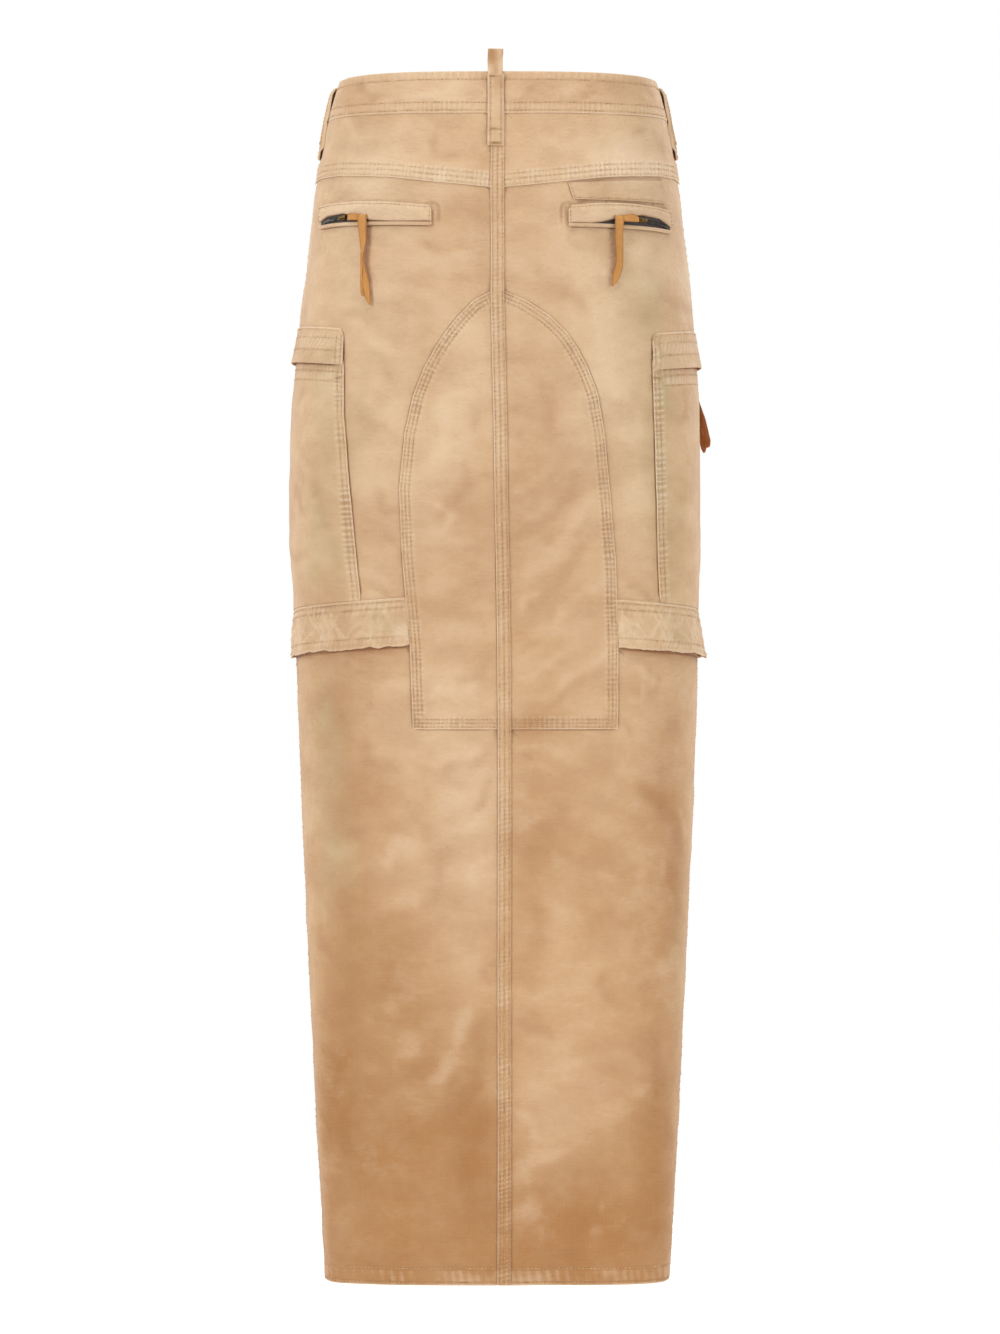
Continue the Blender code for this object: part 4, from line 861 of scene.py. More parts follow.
def seam_relief(seams, way, drop):
    """The seams' marks on a piece's face: its height, wear, and the phase, rows and strength of
    the puckers that the sewing draws up."""
    height, worn, sewn = np.zeros(way.shape), np.zeros(way.shape), np.zeros(way.shape)
    phase, rows = np.zeros(way.shape), np.full(way.shape, 0.5)
    best, second = np.full(way.shape, 1.0), np.full(way.shape, 1.0)
    for s in seams:
        near = near_line(s.line, s.reach + 0.008, way, drop)
        if not near.any():
            continue
        w, d = way[near], drop[near]
        distance, along, _ = from_line(s.line, w, d)
        turn = along / s.pitch + 0.5 * mottle(along / (2.6 * s.pitch), 0.0, s.seed)
        turn = turn + s.lean * distance / s.pitch
        uneven = 0.62 + 0.60 * mottle(along / (3.7 * s.pitch), 0.5, s.seed + 5)
        window = smooth(distance / 0.0012 + 0.35) * smooth((s.reach + 0.004 - distance) / 0.005)
        strength = np.clip(uneven, 0.08, 1.2) * window * s.strong(w, d)
        share = distance / (s.reach + 0.005)
        nearer = share < best[near]
        edge = np.exp(-((distance / DENT_HALF) ** 2))
        rise = -0.00025 * edge
        places, values = row_places(s.rows)
        for row in s.rows:
            rise -= 0.00022 * np.exp(-(((distance - row) / DENT_HALF) ** 2))
        height[near] += rise
        worn[near] += 0.62 * s.pale * edge
        row_of = np.interp(distance, places, values)
        keep_nearer(near, nearer, ((phase, turn), (rows, row_of), (sewn, strength)))
        height[near] += np.where(nearer, s.height * (pucker_ridge(turn) - 0.4) * strength, 0.0)
        first = best[near]
        second[near] = np.minimum(second[near], np.maximum(first, share))
        best[near] = np.minimum(first, share)
        sewn[near] *= np.where(nearer, s.height / 0.0006, 1.0)
    return height, np.clip(worn, -1, 1), phase, rows, sewn * smooth((second - best) / 0.35 - 0.15)


FINE_LINE = 0.0025  # narrower lines of painted shade and grime are drawn as crisp lines by the finish


def edge_grime_and_shade(lines, way, drop):
    """Painted shade, with some grime caught in it, along the edges that lie on the cloth: how dark
    it is over broad strips, and the distance, in widths, from the fine lines with their strength."""
    dark, edge, grime_and_shade = np.zeros(way.shape), np.full(way.shape, 20.0), np.zeros(way.shape)
    for line, strength, width in lines:
        near = near_line(line, 3 * width + 0.007, way, drop)
        if not near.any():
            continue
        distance, along, side = from_line(line, way[near], drop[near])
        uneven = 0.8 + 0.35 * mottle(along / 0.014, 0.3, len(line))
        # broad strips are painted shade, as cast under a standing flap or band
        if width > FINE_LINE:
            dark[near] = np.maximum(dark[near], strength * uneven * np.exp(-((distance / width) ** 2)))
            continue
        ends = smooth(np.minimum(along, along.max() - along) / 0.006 + 0.1)
        value = side * distance / width
        power = strength * uneven * ends * smooth((0.0065 - distance) / 0.003)
        nearer = np.abs(value) < np.abs(edge[near])
        keep_nearer(near, nearer, ((edge, value), (grime_and_shade, power)))
    return dark, edge, grime_and_shade


# Nets of places, and cloth made on them


def spread(length, spacing, fine=(), close=0.0016):
    """Shares from 0 to 1 of a length, closer together in the fine stretches (start, end)."""
    x = np.linspace(0, length, 3000)
    step = np.full(x.shape, spacing)
    for start, end in fine:
        away = np.clip(np.maximum(start - x, x - end) / (3 * spacing), 0, 1)
        step = np.minimum(step, close + (spacing - close) * away)
    count = np.concatenate([[0], np.cumsum(np.diff(x) / step[1:])])
    whole = max(int(round(count[-1])), 2)
    return np.interp(np.linspace(0, count[-1], whole + 1), count, x) / length


def ruled(us, vs, left, right, top, foot):
    """Ways and drops of a net between side lines, read by drop, and cross lines, read by way."""
    u, v = np.meshgrid(us, vs)
    drop = np.full(u.shape, 0.5 * (top(0.1) + foot(0.1)))
    for _ in range(6):
        way = left(drop) + (right(drop) - left(drop)) * u
        drop = top(way) + (foot(way) - top(way)) * v
    return way, drop


def steady(value):
    """A function of places that has this value everywhere."""
    return lambda place, *more: 0 * place + value


SURFACES = {}
# The marks that the finish reads. The first carries rubbing and painted shade, and the last painted shade
# lines with some grime.
MARKS = ("worn", "pale", "ochre", "khaki", "phase", "rows", "sewn", "edge", "grime_and_shade")
CREASE_RUB_AND_SHADE = 600  # how much paler the cloth is from rubbing for each metre that a crease stands out, and how much darker, as painted shade, for each metre that it sinks in


def closed_shell(name, outer, inner, flat, marks):
    """A thin closed wall from two nets of points, joined round a rim. `flat` is the cloth's map."""
    rows, columns = outer.shape[:2]
    edge = [(0, i) for i in range(columns)] + [(j, columns - 1) for j in range(1, rows)]
    edge += [(rows - 1, i) for i in range(columns - 2, -1, -1)] + [(j, 0) for j in range(rows - 2, 0, -1)]
    rim = []
    for j, i in edge:
        back = (min(max(j, 1), rows - 2), min(max(i, 1), columns - 2))
        away = outer[j, i] - outer[back]
        length = np.linalg.norm(away)
        wall = np.linalg.norm(outer[j, i] - inner[j, i])
        bulge = away / length * wall * 0.3 if length > 0 else 0
        rim.append((outer[j, i] + inner[j, i]) / 2 + bulge)
    index = np.arange(rows * columns).reshape(rows, columns)
    quads = np.stack([index[:-1, :-1], index[1:, :-1], index[1:, 1:], index[:-1, 1:]], axis=-1)
    quads = quads.reshape(-1, 4)
    count = rows * columns
    loop = np.array([index[place] for place in edge])
    after = np.roll(loop, -1)
    middle = 2 * count + np.arange(len(edge))
    middle_after = np.roll(middle, -1)
    faces = np.concatenate(
        [
            quads,
            quads[:, ::-1] + count,
            np.stack([loop, after, middle_after, middle], axis=1),
            np.stack([middle, middle_after, after + count, loop + count], axis=1),
        ]
    )
    points = np.concatenate([outer.reshape(-1, 3), inner.reshape(-1, 3), np.array(rim)])
    mesh = mesh_from(name, points, faces.reshape(-1), np.arange(0, faces.size, 4))
    mesh.set_sharp_from_angle(angle=math.radians(SHARP_CLOTH))
    loops = faces.reshape(-1)
    whole = np.concatenate([flat.reshape(-1, 2), flat.reshape(-1, 2), flat.reshape(-1, 2)[loop]])
    mesh.uv_layers.new(name="cloth").data.foreach_set("uv", whole[loops].reshape(-1))
    for mark, values in marks.items():
        layer = mesh.attributes.new(mark, "FLOAT", "POINT")
        values = values.reshape(-1)
        layer.data.foreach_set("value", np.concatenate([values, values, values[loop]]))
    return mesh


def mesh_from(name, points, corners, starts):
    """A mesh of these points, with the corners of all its faces in turn and where each face starts."""
    mesh = bpy.data.meshes.new(name)
    mesh.vertices.add(len(points))
    mesh.vertices.foreach_set("co", points.reshape(-1))
    mesh.loops.add(len(corners))
    mesh.loops.foreach_set("vertex_index", corners.astype(np.int32))
    mesh.polygons.add(len(starts))
    mesh.polygons.foreach_set("loop_start", starts.astype(np.int32))
    mesh.update(calc_edges=True)
    mesh.validate()
    mesh.shade_smooth()
    return mesh


def placed(name, mesh, material, slot, nodes=()):
    """The object of a finished mesh, riding on the frame in place of the nodes named."""
    made = bpy.data.objects.new(name, mesh)
    bpy.context.scene.collection.objects.link(made)
    mesh.materials.append(material)
    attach(made, "root")
    if nodes:
        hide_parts(*nodes)
    return made


def tones_at(way, drop):
    """How pale and how ochre the wash has left each place."""
    uneven = drop + 0.045 * mottle(way / 0.06, drop / 0.15, 2)
    pale, ochre = along_table(WASH, uneven, 1), along_table(WASH, uneven, 2)
    khaki = np.zeros(way.shape)
    for k, (place, depth, across, down, strength) in enumerate(STAINS):
        away = ((way - place) / across) ** 2 + ((drop - depth) / down) ** 2
        away = away + 0.8 * mottle(way / 0.018, drop / 0.024, k + 40)
        khaki += strength * np.exp(-np.clip(away, -0.2, 9))
    for k, tone in enumerate(map(Tone._make, TONES)):
        lean = math.radians(tone.lean)
        x, y = way - tone.way, drop - tone.drop
        across = (x * math.cos(lean) + y * math.sin(lean)) / tone.across
        down = (y * math.cos(lean) - x * math.sin(lean)) / tone.down
        away = across**2 + down**2 + 0.35 * mottle(way / 0.055, drop / 0.070, k + 3)
        share = np.exp(-np.clip(away, -0.2, 9))
        pale += tone.pale * share
        ochre += tone.ochre * share
    return pale, ochre, khaki


def cloth(name, node, net, lift, thick, seams=(), held="hung", rests_on=(), **more):
    """A piece of cloth over a net of places, with the relief of its seams on its outer face."""
    way, drop = net
    if way[0, -1] < way[0, 0]:
        way, drop = way[:, ::-1], drop[:, ::-1]

    def surface(w, d):
        return lift(w, d) + seam_relief(seams, w, d)[0]

    SURFACES[name] = surface
    base = lift(way, drop)
    raised, worn, phase, rows, sewn = seam_relief(seams, way, drop)
    # painted shade, with some grime, along the edges that lie on this piece
    dark, edge, grime_and_shade = edge_grime_and_shade(more.get("soiled", ()), way, drop)
    # ridges of the crumples and creases are paler from rubbing and their troughs darker as painted shade;
    # the broad painted shade along edges darkens the piece too
    if "crumpled" in more:
        worn = worn + 0.40 * np.tanh((more["crumpled"](way, drop) - 0.00025) * 1500)
    worn = worn + 0.40 * np.tanh(CREASE_RUB_AND_SHADE * crease_relief(way, drop) / 0.40) - dark
    pale, ochre, khaki = tones_at(way, drop)
    pale = pale + more.get("pale", 0.0) + more.get("cream", 0.0) * sewn
    ochre = ochre + more.get("ochre", 0.0)
    wall = thick(way, drop) if callable(thick) else thick
    outer = at(way, drop, base + raised)
    inner = at(way, drop, base - wall + np.minimum(raised, 0) * 0.2)
    marks = dict(zip(MARKS, (worn, pale, ochre, khaki, phase, rows, sewn, edge, grime_and_shade)))
    mesh = closed_shell(name, outer, inner, np.stack([way, -drop], axis=-1), marks)
    material = MATERIALS[more.get("material", "canvas")]
    made = placed(name, mesh, material, more.get("slot", "canvas"), (node,))
    declare_sheet(way, drop, held, rests_on)


def declare_sheet(way, drop, held, rests_on):
    """Works out the flat size and area that a piece of cloth was cut to, and keeps neither."""
    x, y = way, drop
    a = (x[:-1, :-1] - x[1:, 1:]) * (y[:-1, 1:] - y[1:, :-1])
    b = (x[:-1, 1:] - x[1:, :-1]) * (y[:-1, :-1] - y[1:, 1:])
    area = float(np.abs(a - b).sum() / 2)
    width, length = float(np.ptp(x)), float(np.ptp(y))
    flat = (round(max(width, 0.01), 4), round(max(length, 0.01), 4))
    area = min(area, flat[0] * flat[1])
    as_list(rests_on)


STITCH_RINGS = ((-0.36, 0.8, 0.0), (0.0, 1.0, 0.35), (0.36, 0.8, 0.0))


def stitch_form():
    """Points and faces of one stitch, a short bowed bead of thread along x, 1 long."""
    points = []
    for x, size, rise in STITCH_RINGS:
        for k in range(4):
            angle = math.pi / 4 + k * math.pi / 2
            points.append((x, size * math.cos(angle), size * math.sin(angle) + rise))
    points += [(-0.5, 0, -0.6), (0.5, 0, -0.6)]
    faces = []
    for ring in (0, 4):
        for k in range(4):
            j = (k + 1) % 4
            faces.append((ring + k, ring + j, ring + 4 + j, ring + 4 + k))
    for k in range(4):
        j = (k + 1) % 4
        faces.append((12, j, k, k))
        faces.append((13, 8 + k, 8 + j, 8 + j))
    return np.array(points), faces


def sew(name, on, seams, material="thread", bars=()):
    """All the stitches of the seams named, as one piece of thread on a piece of cloth.

    `bars` are bar tacks: each the two ends of a short, closely overstitched line.
    """
    sizes = bpy.context.scene.skirt_sizes
    pitch = sizes.stitch
    surface = SURFACES[on]
    ways, drops, turns, lengths, thick = [], [], [], [], []
    for s in seams:
        for k, row in enumerate(s.rows):
            line = resample(offset(s.line, row * s.side), 0.0015)
            run = np.concatenate([[0], np.cumsum(np.hypot(*np.diff(line, axis=0).T))])
            places = np.arange(pitch * (0.4 + 0.13 * (k % 3)), run[-1] - pitch * 0.3, pitch)
            w, d = (np.interp(places, run, line[:, i]) for i in (0, 1))
            w2, d2 = (np.interp(places + 0.0006, run, line[:, i]) for i in (0, 1))
            w1, d1 = (np.interp(places - 0.0006, run, line[:, i]) for i in (0, 1))
            ways.append(w)
            drops.append(d)
            turns.append(np.arctan2(d2 - d1, w2 - w1))
            lengths.append(np.full(w.shape, pitch * 0.80))
            thick.append(np.full(w.shape, sizes.thread))
    for a, b in bars:
        count = max(int(math.hypot(b[0] - a[0], b[1] - a[1]) / 0.0007), 2)
        share = np.linspace(0, 1, count)
        ways.append(a[0] + (b[0] - a[0]) * share)
        drops.append(a[1] + (b[1] - a[1]) * share)
        across = math.atan2(b[1] - a[1], b[0] - a[0]) + math.pi / 2
        turns.append(np.full(count, across) + 0.25 * (-1) ** np.arange(count))
        lengths.append(np.full(count, 0.0030))
        thick.append(np.full(count, sizes.thread * 0.95))
    way, drop, turn = np.concatenate(ways), np.concatenate(drops), np.concatenate(turns)
    length, radius = np.concatenate(lengths)[:, None], np.concatenate(thick)[:, None]
    lift = surface(way, drop) + 0.00012
    middle = at(way, drop, lift)
    out = facing(way, drop)[2]
    reach = 0.0010
    cos, sin = np.cos(turn), np.sin(turn)
    before = at(way - reach * cos, drop - reach * sin, surface(way - reach * cos, drop - reach * sin))
    after = at(way + reach * cos, drop + reach * sin, surface(way + reach * cos, drop + reach * sin))
    ahead = after - before
    ahead /= np.linalg.norm(ahead, axis=1, keepdims=True)
    wide = np.cross(out, ahead)
    wide /= np.linalg.norm(wide, axis=1, keepdims=True)
    up = np.cross(ahead, wide)
    form, faces = stitch_form()
    points = middle[:, None, :] + form[None, :, :1] * (ahead * length)[:, None, :]
    points = points + form[None, :, 1:2] * (wide * radius)[:, None, :]
    points = points + form[None, :, 2:3] * (up * radius)[:, None, :]
    mesh = repeated(name, points, faces)
    placed(name, mesh, MATERIALS[material], "canvas")


def sewn_cloth(node, *parts, thread="thread", bars=(), **more):
    """A piece of cloth with its stitches, both named after the frame's node. `parts` are as in cloth."""
    name = f"{node}_canvas"
    cloth(name, node, *parts, **more)
    seams = parts[3]
    sew(f"{node}_stitches", name, seams, thread, bars)


def repeated(name, points, faces):
    """One mesh of many copies of a small form. A repeated last corner marks a triangle."""
    count, size = points.shape[:2]
    corners = [face if face[2] != face[3] else face[:3] for face in faces]
    flat = np.concatenate([np.array(face) for face in corners])
    sizes = np.array([len(face) for face in corners])
    all_corners = (flat[None, :] + np.arange(count)[:, None] * size).reshape(-1)
    all_sizes = np.tile(sizes, count)
    starts = np.concatenate([[0], np.cumsum(all_sizes)[:-1]])
    return mesh_from(name, points.reshape(-1, 3), all_corners, starts)


def offset(line, distance):
    """A line beside another."""
    step = np.gradient(line, axis=0)
    step /= np.linalg.norm(step, axis=1, keepdims=True)
    return line + np.stack([-step[:, 1], step[:, 0]], axis=1) * distance


def across_line(function, start, end, shift=0.0):
    """A line along a cross seam, from one way to another."""
    ways = np.linspace(start, end, max(int(abs(end - start) / 0.004), 2))
    return np.stack([ways, function(np.abs(ways)) + shift], axis=1)


def down_line(function, top, foot, sign=1):
    """A line down the skirt, from one drop to another."""
    drops = np.linspace(top, foot, max(int((foot - top) / 0.005), 2))
    return np.stack([sign * function(drops), drops], axis=1)


# Finishes


MATERIALS = {}


def linear(text):
    """The linear colour of an sRGB hex value."""
    channels = [int(text[k : k + 2], 16) / 255 for k in (0, 2, 4)]
    return tuple(c / 12.92 if c <= 0.04045 else ((c + 0.055) / 1.055) ** 2.4 for c in channels)


def add(tree, kind, links=None, **settings):
    """Adds a node. `links` feeds its inputs, by name or number, with values or other outputs."""
    made = tree.nodes.new(kind)
    for key, value in settings.items():
        setattr(made, key, value)
    for key, value in (links or {}).items():
        if isinstance(value, bpy.types.NodeSocket):
            tree.links.new(value, made.inputs[key])
        else:
            made.inputs[key].default_value = value
    return made


def start_finish(name, key, **shader):
    """A new material with its Principled shader's own values set."""
    made = bpy.data.materials.new(name)
    made.use_nodes = True
    principled = made.node_tree.nodes["Principled BSDF"]
    for socket, value in shader.items():
        principled.inputs[socket.replace("_", " ")].default_value = value
    MATERIALS[key] = made
    return made.node_tree, principled


def blend(tree, share, a, b):
    """The colour of b laid over a by this share."""
    made = add(tree, "ShaderNodeMix", data_type="RGBA")
    for socket, value in zip((made.inputs[0], made.inputs[6], made.inputs[7]), (share, a, b)):
        if isinstance(value, bpy.types.NodeSocket):
            tree.links.new(value, socket)
        else:
            socket.default_value = value
    return made.outputs[2]


def ranged(tree, value, low=0.0, high=1.0, bottom=0.0, top=1.0, kind="LINEAR"):
    """A value carried from one range to another, and kept within it."""
    inputs = {"Value": value, "From Min": low, "From Max": high, "To Min": bottom, "To Max": top}
    return add(tree, "ShaderNodeMapRange", inputs, interpolation_type=kind).outputs[0]


def noise(tree, place, scale, detail=2.0, roughness=0.5):
    """Soft clouds, with this many to the metre."""
    inputs = {"Vector": place, "Scale": scale, "Detail": detail, "Roughness": roughness}
    return add(tree, "ShaderNodeTexNoise", inputs).outputs[0]


def join_finish(tree, shader, colour, height, distance, strength):
    """Gives the shader its colour and the bumps of this height."""
    tree.links.new(colour, shader.inputs["Base Color"])
    bump = add(tree, "ShaderNodeBump", {"Height": height, "Distance": distance, "Strength": strength})
    tree.links.new(bump.outputs[0], shader.inputs["Normal"])


def canvas_finish(name, key, colours, weave, crumple, fold=26):
    """Washed canvas: matt woven cotton whose dye has rubbed off the ridges and stayed in the seams, with
    shade painted into troughs, stitch dents and along edges that lie on it.
    """
    base, pale, ochre = [(*c, 1) for c in colours]
    tree, shader = start_finish(name, key, Roughness=0.88, Sheen_Weight=0.12, Sheen_Roughness=0.5)
    place = add(tree, "ShaderNodeTexCoord").outputs["Object"]
    flat = add(tree, "ShaderNodeUVMap", uv_map="cloth").outputs["UV"]
    marks = {
        mark: add(tree, "ShaderNodeAttribute", attribute_name=mark).outputs["Fac"]
        for mark in MARKS
    }

    def share(value, *measures):
        return ranged(tree, value, *measures)

    def sums(operation, a, b=0.5, c=0.5):
        return add(tree, "ShaderNodeMath", {0: a, 1: b, 2: c}, operation=operation).outputs[0]

    def clouds(size, detail, roughness=0.55, place=place):
        return noise(tree, place, 1 / size, detail, roughness)

    # puckers across the seams, and the dents of the stitch rows
    ridge = sums("COSINE", sums("MULTIPLY", marks["phase"], 2 * math.pi))
    ridge = sums("POWER", sums("MULTIPLY_ADD", ridge, 0.5, 0.5), 1.4)
    pucker = sums("MULTIPLY", sums("SUBTRACT", ridge, 0.27), marks["sewn"])
    off_row = sums("ABSOLUTE", sums("SUBTRACT", marks["rows"], sums("ROUND", marks["rows"])))
    dent = share(off_row, 0.0, 0.26, 1.0, 0.0, "SMOOTHSTEP")
    # clouds of dye 110 mm, 30 mm and 8 mm across, and crinkles 7 mm long and 3 mm apart
    broad, patches, specks = clouds(0.110, 3), clouds(0.030, 4, 0.6), clouds(0.008, 3, 0.6)
    # sharp little creases that the washing has set, `fold` of them to the metre
    creased = add(
        tree,
        "ShaderNodeTexNoise",
        {"Vector": place, "Scale": fold, "Detail": 2.5, "Roughness": 0.45, "Distortion": 0.6},
        noise_type="RIDGED_MULTIFRACTAL",
    ).outputs[0]
    inputs = {"Vector": flat, "Rotation": (0, 0, 0.12), "Scale": (150, 300, 1)}
    crinkle = clouds(1.0, 3, 0.6, add(tree, "ShaderNodeMapping", inputs).outputs[0])
    paleness = sums("ADD", marks["pale"], share(patches, 0.30, 0.75, -0.08, 0.14))
    dye = sums("ADD", marks["ochre"], share(broad, 0.30, 0.70, -0.06, 0.16))
    dye = sums("ADD", dye, share(specks, 0.45, 0.80, 0.0, 0.12))
    dye = sums("ADD", dye, share(marks["sewn"], 0.0, 1.5, 0.0, 0.30))
    # pucker ridges turn paler from rubbing and pucker troughs darker as painted shade
    lightness = sums("ADD", marks["worn"], sums("MULTIPLY", pucker, 0.55))
    # pale ridges run between the rows of stitches
    between = share(off_row, 0.22, 0.50, 0.0, 1.0, "SMOOTHSTEP")
    between = sums("MULTIPLY", between, share(marks["sewn"], 0.0, 0.5, 0.0, 0.24))
    lightness = sums("ADD", lightness, between)
    # painted shade in the dents of the stitch rows
    dented = sums("MULTIPLY", dent, share(marks["sewn"], 0.0, 0.6, 0.5, 1.0))
    lightness = sums("SUBTRACT", lightness, sums("MULTIPLY", dented, 0.17))
    lightness = sums("ADD", lightness, share(crinkle, 0.30, 0.70, -0.07, 0.07))
    lightness = sums("ADD", lightness, share(creased, 0.2, 1.6, -0.07 * crumple, 0.12 * crumple))
    colour = blend(tree, share(dye, 0.0, 1.15), base, ochre)
    colour = blend(tree, share(paleness, 0.0, 1.15), colour, pale)
    colour = blend(tree, share(marks["khaki"], 0.0, 1.0), colour, (*linear("C2AB80"), 1))
    colour = blend(tree, share(lightness, 0.0, 1.1, 0.0, 0.70), colour, (*linear("F0DABC"), 1))
    # darker brown: painted shade in troughs, dents and along edges, with some random tone
    colour = blend(tree, share(lightness, 0.0, -1.2, 0.0, 0.85), colour, (*linear("9C683A"), 1))
    # crisp dark lines of painted contact shade, with some grime, along edges that lie on the cloth
    line = share(sums("ABSOLUTE", marks["edge"]), 0.0, 1.5, 1.0, 0.0, "SMOOTHSTEP")
    line = sums("MULTIPLY", line, marks["grime_and_shade"])
    colour = blend(tree, share(line, 0.0, 1.0, 0.0, 0.86), colour, (*linear("86502A"), 1))
    # threads 0.6 mm apart, drawn twice as coarse so that they show
    threads = [
        add(
            tree,
            "ShaderNodeTexWave",
            {"Vector": flat, "Scale": weave, "Distortion": 0.8, "Detail": 1.0},
            bands_direction=direction,
        ).outputs["Fac"]
        for direction in ("X", "Y")
    ]
    thread = sums("MULTIPLY", *threads)
    colour = blend(tree, share(thread, 0.0, 1.0, 0.0, 0.10), colour, (*linear("F4E4CB"), 1))
    tree.links.new(colour, shader.inputs["Base Color"])
    normal = None
    lumps = clouds(0.013, 3)
    folds = sums("SUBTRACT", sums("MULTIPLY", pucker, 0.9), sums("MULTIPLY", dent, 0.25))
    for height, distance, strength in (
        (lumps, 0.0016 * crumple, 0.7),
        (creased, 0.0007 * crumple, 0.7),
        (crinkle, 0.0009 * crumple, 0.7),
        (folds, 0.0006, 0.9),
        (thread, 0.00016, 0.5),
    ):
        inputs = {"Height": height, "Distance": distance, "Strength": strength}
        if normal:
            inputs["Normal"] = normal
        normal = add(tree, "ShaderNodeBump", inputs).outputs[0]
    tree.links.new(normal, shader.inputs["Normal"])


def thread_finish(name, key, light, dark):
    """Twisted cotton thread: soft, a little shiny, its colour changing from length to length."""
    tree, shader = start_finish(name, key, Roughness=0.7, Sheen_Weight=0.2)
    place = add(tree, "ShaderNodeTexCoord").outputs["Object"]
    colour = blend(tree, ranged(tree, noise(tree, place, 130), 0.35, 0.65), (*dark, 1), (*light, 1))
    # the twist of the thread, 0.6 mm a turn
    inputs = {"Vector": place, "Scale": 500, "Distortion": 2.0}
    twist = add(tree, "ShaderNodeTexWave", inputs, bands_direction="DIAGONAL")
    join_finish(tree, shader, colour, twist.outputs["Fac"], 0.0001, 0.5)


def suede_finish(name, key, light, dark):
    """Suede: split leather with a brushed nap, darker where the nap lies down."""
    sheen = {"Sheen_Weight": 0.6, "Sheen_Roughness": 0.4, "Sheen_Tint": (*light, 1)}
    tree, shader = start_finish(name, key, Roughness=0.95, **sheen)
    place = add(tree, "ShaderNodeTexCoord").outputs["Object"]
    nap = noise(tree, place, 260, 5, 0.7)
    brushed = ranged(tree, noise(tree, place, 45), 0.4, 0.7, 0.0, 0.5)
    worn = add(tree, "ShaderNodeAttribute", attribute_name="worn").outputs["Fac"]
    colour = blend(tree, ranged(tree, nap, 0.3, 0.7), (*dark, 1), (*light, 1))
    colour = blend(tree, brushed, colour, (*dark, 1))
    colour = blend(tree, ranged(tree, worn, 0.0, 1.0, 0.0, 0.6), colour, (*linear("8A5226"), 1))
    join_finish(tree, shader, colour, nap, 0.0004, 0.7)


def tape_finish():
    """Zip tape: dark grey herringbone cotton and polyester, matt."""
    tree, shader = start_finish("dark_grey_zip_tape", "tape", Roughness=0.8, Sheen_Weight=0.1)
    flat = add(tree, "ShaderNodeUVMap", uv_map="cloth").outputs["UV"]
    # ribs 1 mm apart
    inputs = {"Vector": flat, "Scale": 314, "Distortion": 1.0}
    ribs = add(tree, "ShaderNodeTexWave", inputs, bands_direction="DIAGONAL").outputs["Fac"]
    colour = blend(tree, ribs, (*linear("3A3432"), 1), (*linear("5B524E"), 1))
    join_finish(tree, shader, colour, ribs, 0.0002, 0.6)


def metal_finish(name, key, colour, dull, roughness):
    """Cast zip metal: brushed bright on what is rubbed, dull in its hollows."""
    tree, shader = start_finish(name, key, Metallic=1.0)
    lightness = noise(tree, add(tree, "ShaderNodeTexCoord").outputs["Object"], 420, 4, 0.6)
    base = blend(tree, ranged(tree, lightness, 0.35, 0.65), (*dull, 1), (*colour, 1))
    tree.links.new(base, shader.inputs["Base Color"])
    rough = ranged(tree, lightness, 0.0, 1.0, roughness + 0.2, roughness)
    tree.links.new(rough, shader.inputs["Roughness"])


def mix_finishes(colours):
    """All the finishes of the skirt."""
    canvas = (colours.canvas, colours.pale, colours.ochre)
    canvas_finish("garment_washed_cotton_canvas", "canvas", canvas, 262, 1.6, 38)
    canvas_finish("washed_canvas_tape", "trim", canvas, 330, 0.7)
    canvas_finish("crumpled_cotton_canvas", "crumpled", canvas, 262, 2.2, 80)
    thread_finish("tan_topstitch_thread", "thread", linear("D9B98F"), linear("AE8257"))
    thread_finish("washed_topstitch_thread", "worn_thread", linear("E6CDA8"), linear("C79F72"))
    thread_finish("ochre_bartack_thread", "bartack", linear("C08A55"), linear("8E5F38"))
    suede_finish("ochre_suede", "suede", tuple(colours.suede), linear("C2894C"))
    suede_finish("rust_suede", "side_suede", linear("C98450"), linear("A5653A"))
    tape_finish()
    metal_finish("dark_zip_teeth", "teeth", linear("6E6762"), linear("2E2A28"), 0.35)
    metal_finish("aged_brass", "brass", linear("9A7A48"), linear("5A4528"), 0.32)


# Lifts of the layers


def waist_seam(way):
    return along_table(WAIST_SEAM, np.abs(way))


def yoke_seam(way):
    return along_table(YOKE_SEAM, np.abs(way))


def yoke_foot(way):
    return yoke_seam(way) + YOKE_LAP


def lap_edge(drop):
    """The way of the back panel's edge, past the side seam."""
    return side_way(drop) + SIDE_LAP


def seam_band_left(drop):
    return along_table(SEAM_BAND, drop, 1)


def seam_band_right(drop):
    return along_table(SEAM_BAND, drop, 2)


def side_lap(way, drop):
    """The rise of the back panel over the front one at the side seam."""
    return LAP_RISE * smooth((np.abs(way) - side_way(drop) + LAP_SLOPE) / LAP_SLOPE)


def over_side_lap(way, drop):
    """side_lap, and the slope back down to the front panel for what lies across it."""
    past = (np.abs(way) - side_way(drop) - SIDE_LAP) / LAP_SLOPE
    return side_lap(way, drop) * (1 - smooth(past))


def pocket_inner(side, drop):
    return along_table(POCKET_EDGE, drop, 1 if side == "left" else 2)


def pocket_outer(drop):
    return side_way(drop) + POCKET_REACH


def seat_reach(side, drop):
    return along_table(SEAT, drop, 1 if side == "left" else 2)


def flap_skew(side, way, drop):
    """0 at the side seam and 1 at the ends of the flap."""
    seam_at = side_way(drop)
    return np.minimum(np.abs(np.abs(way) - seam_at) / (seam_at - pocket_inner(side, drop)), 1.0)


def band_top(way):
    """The top of the pocket band, which sags to the side seam and is level beyond."""
    start, seam_at = 0.0745, side_way(BAND_TOP)
    return BAND_TOP + BAND_SAG * np.clip((np.abs(way) - start) / (seam_at - start), 0, 1)


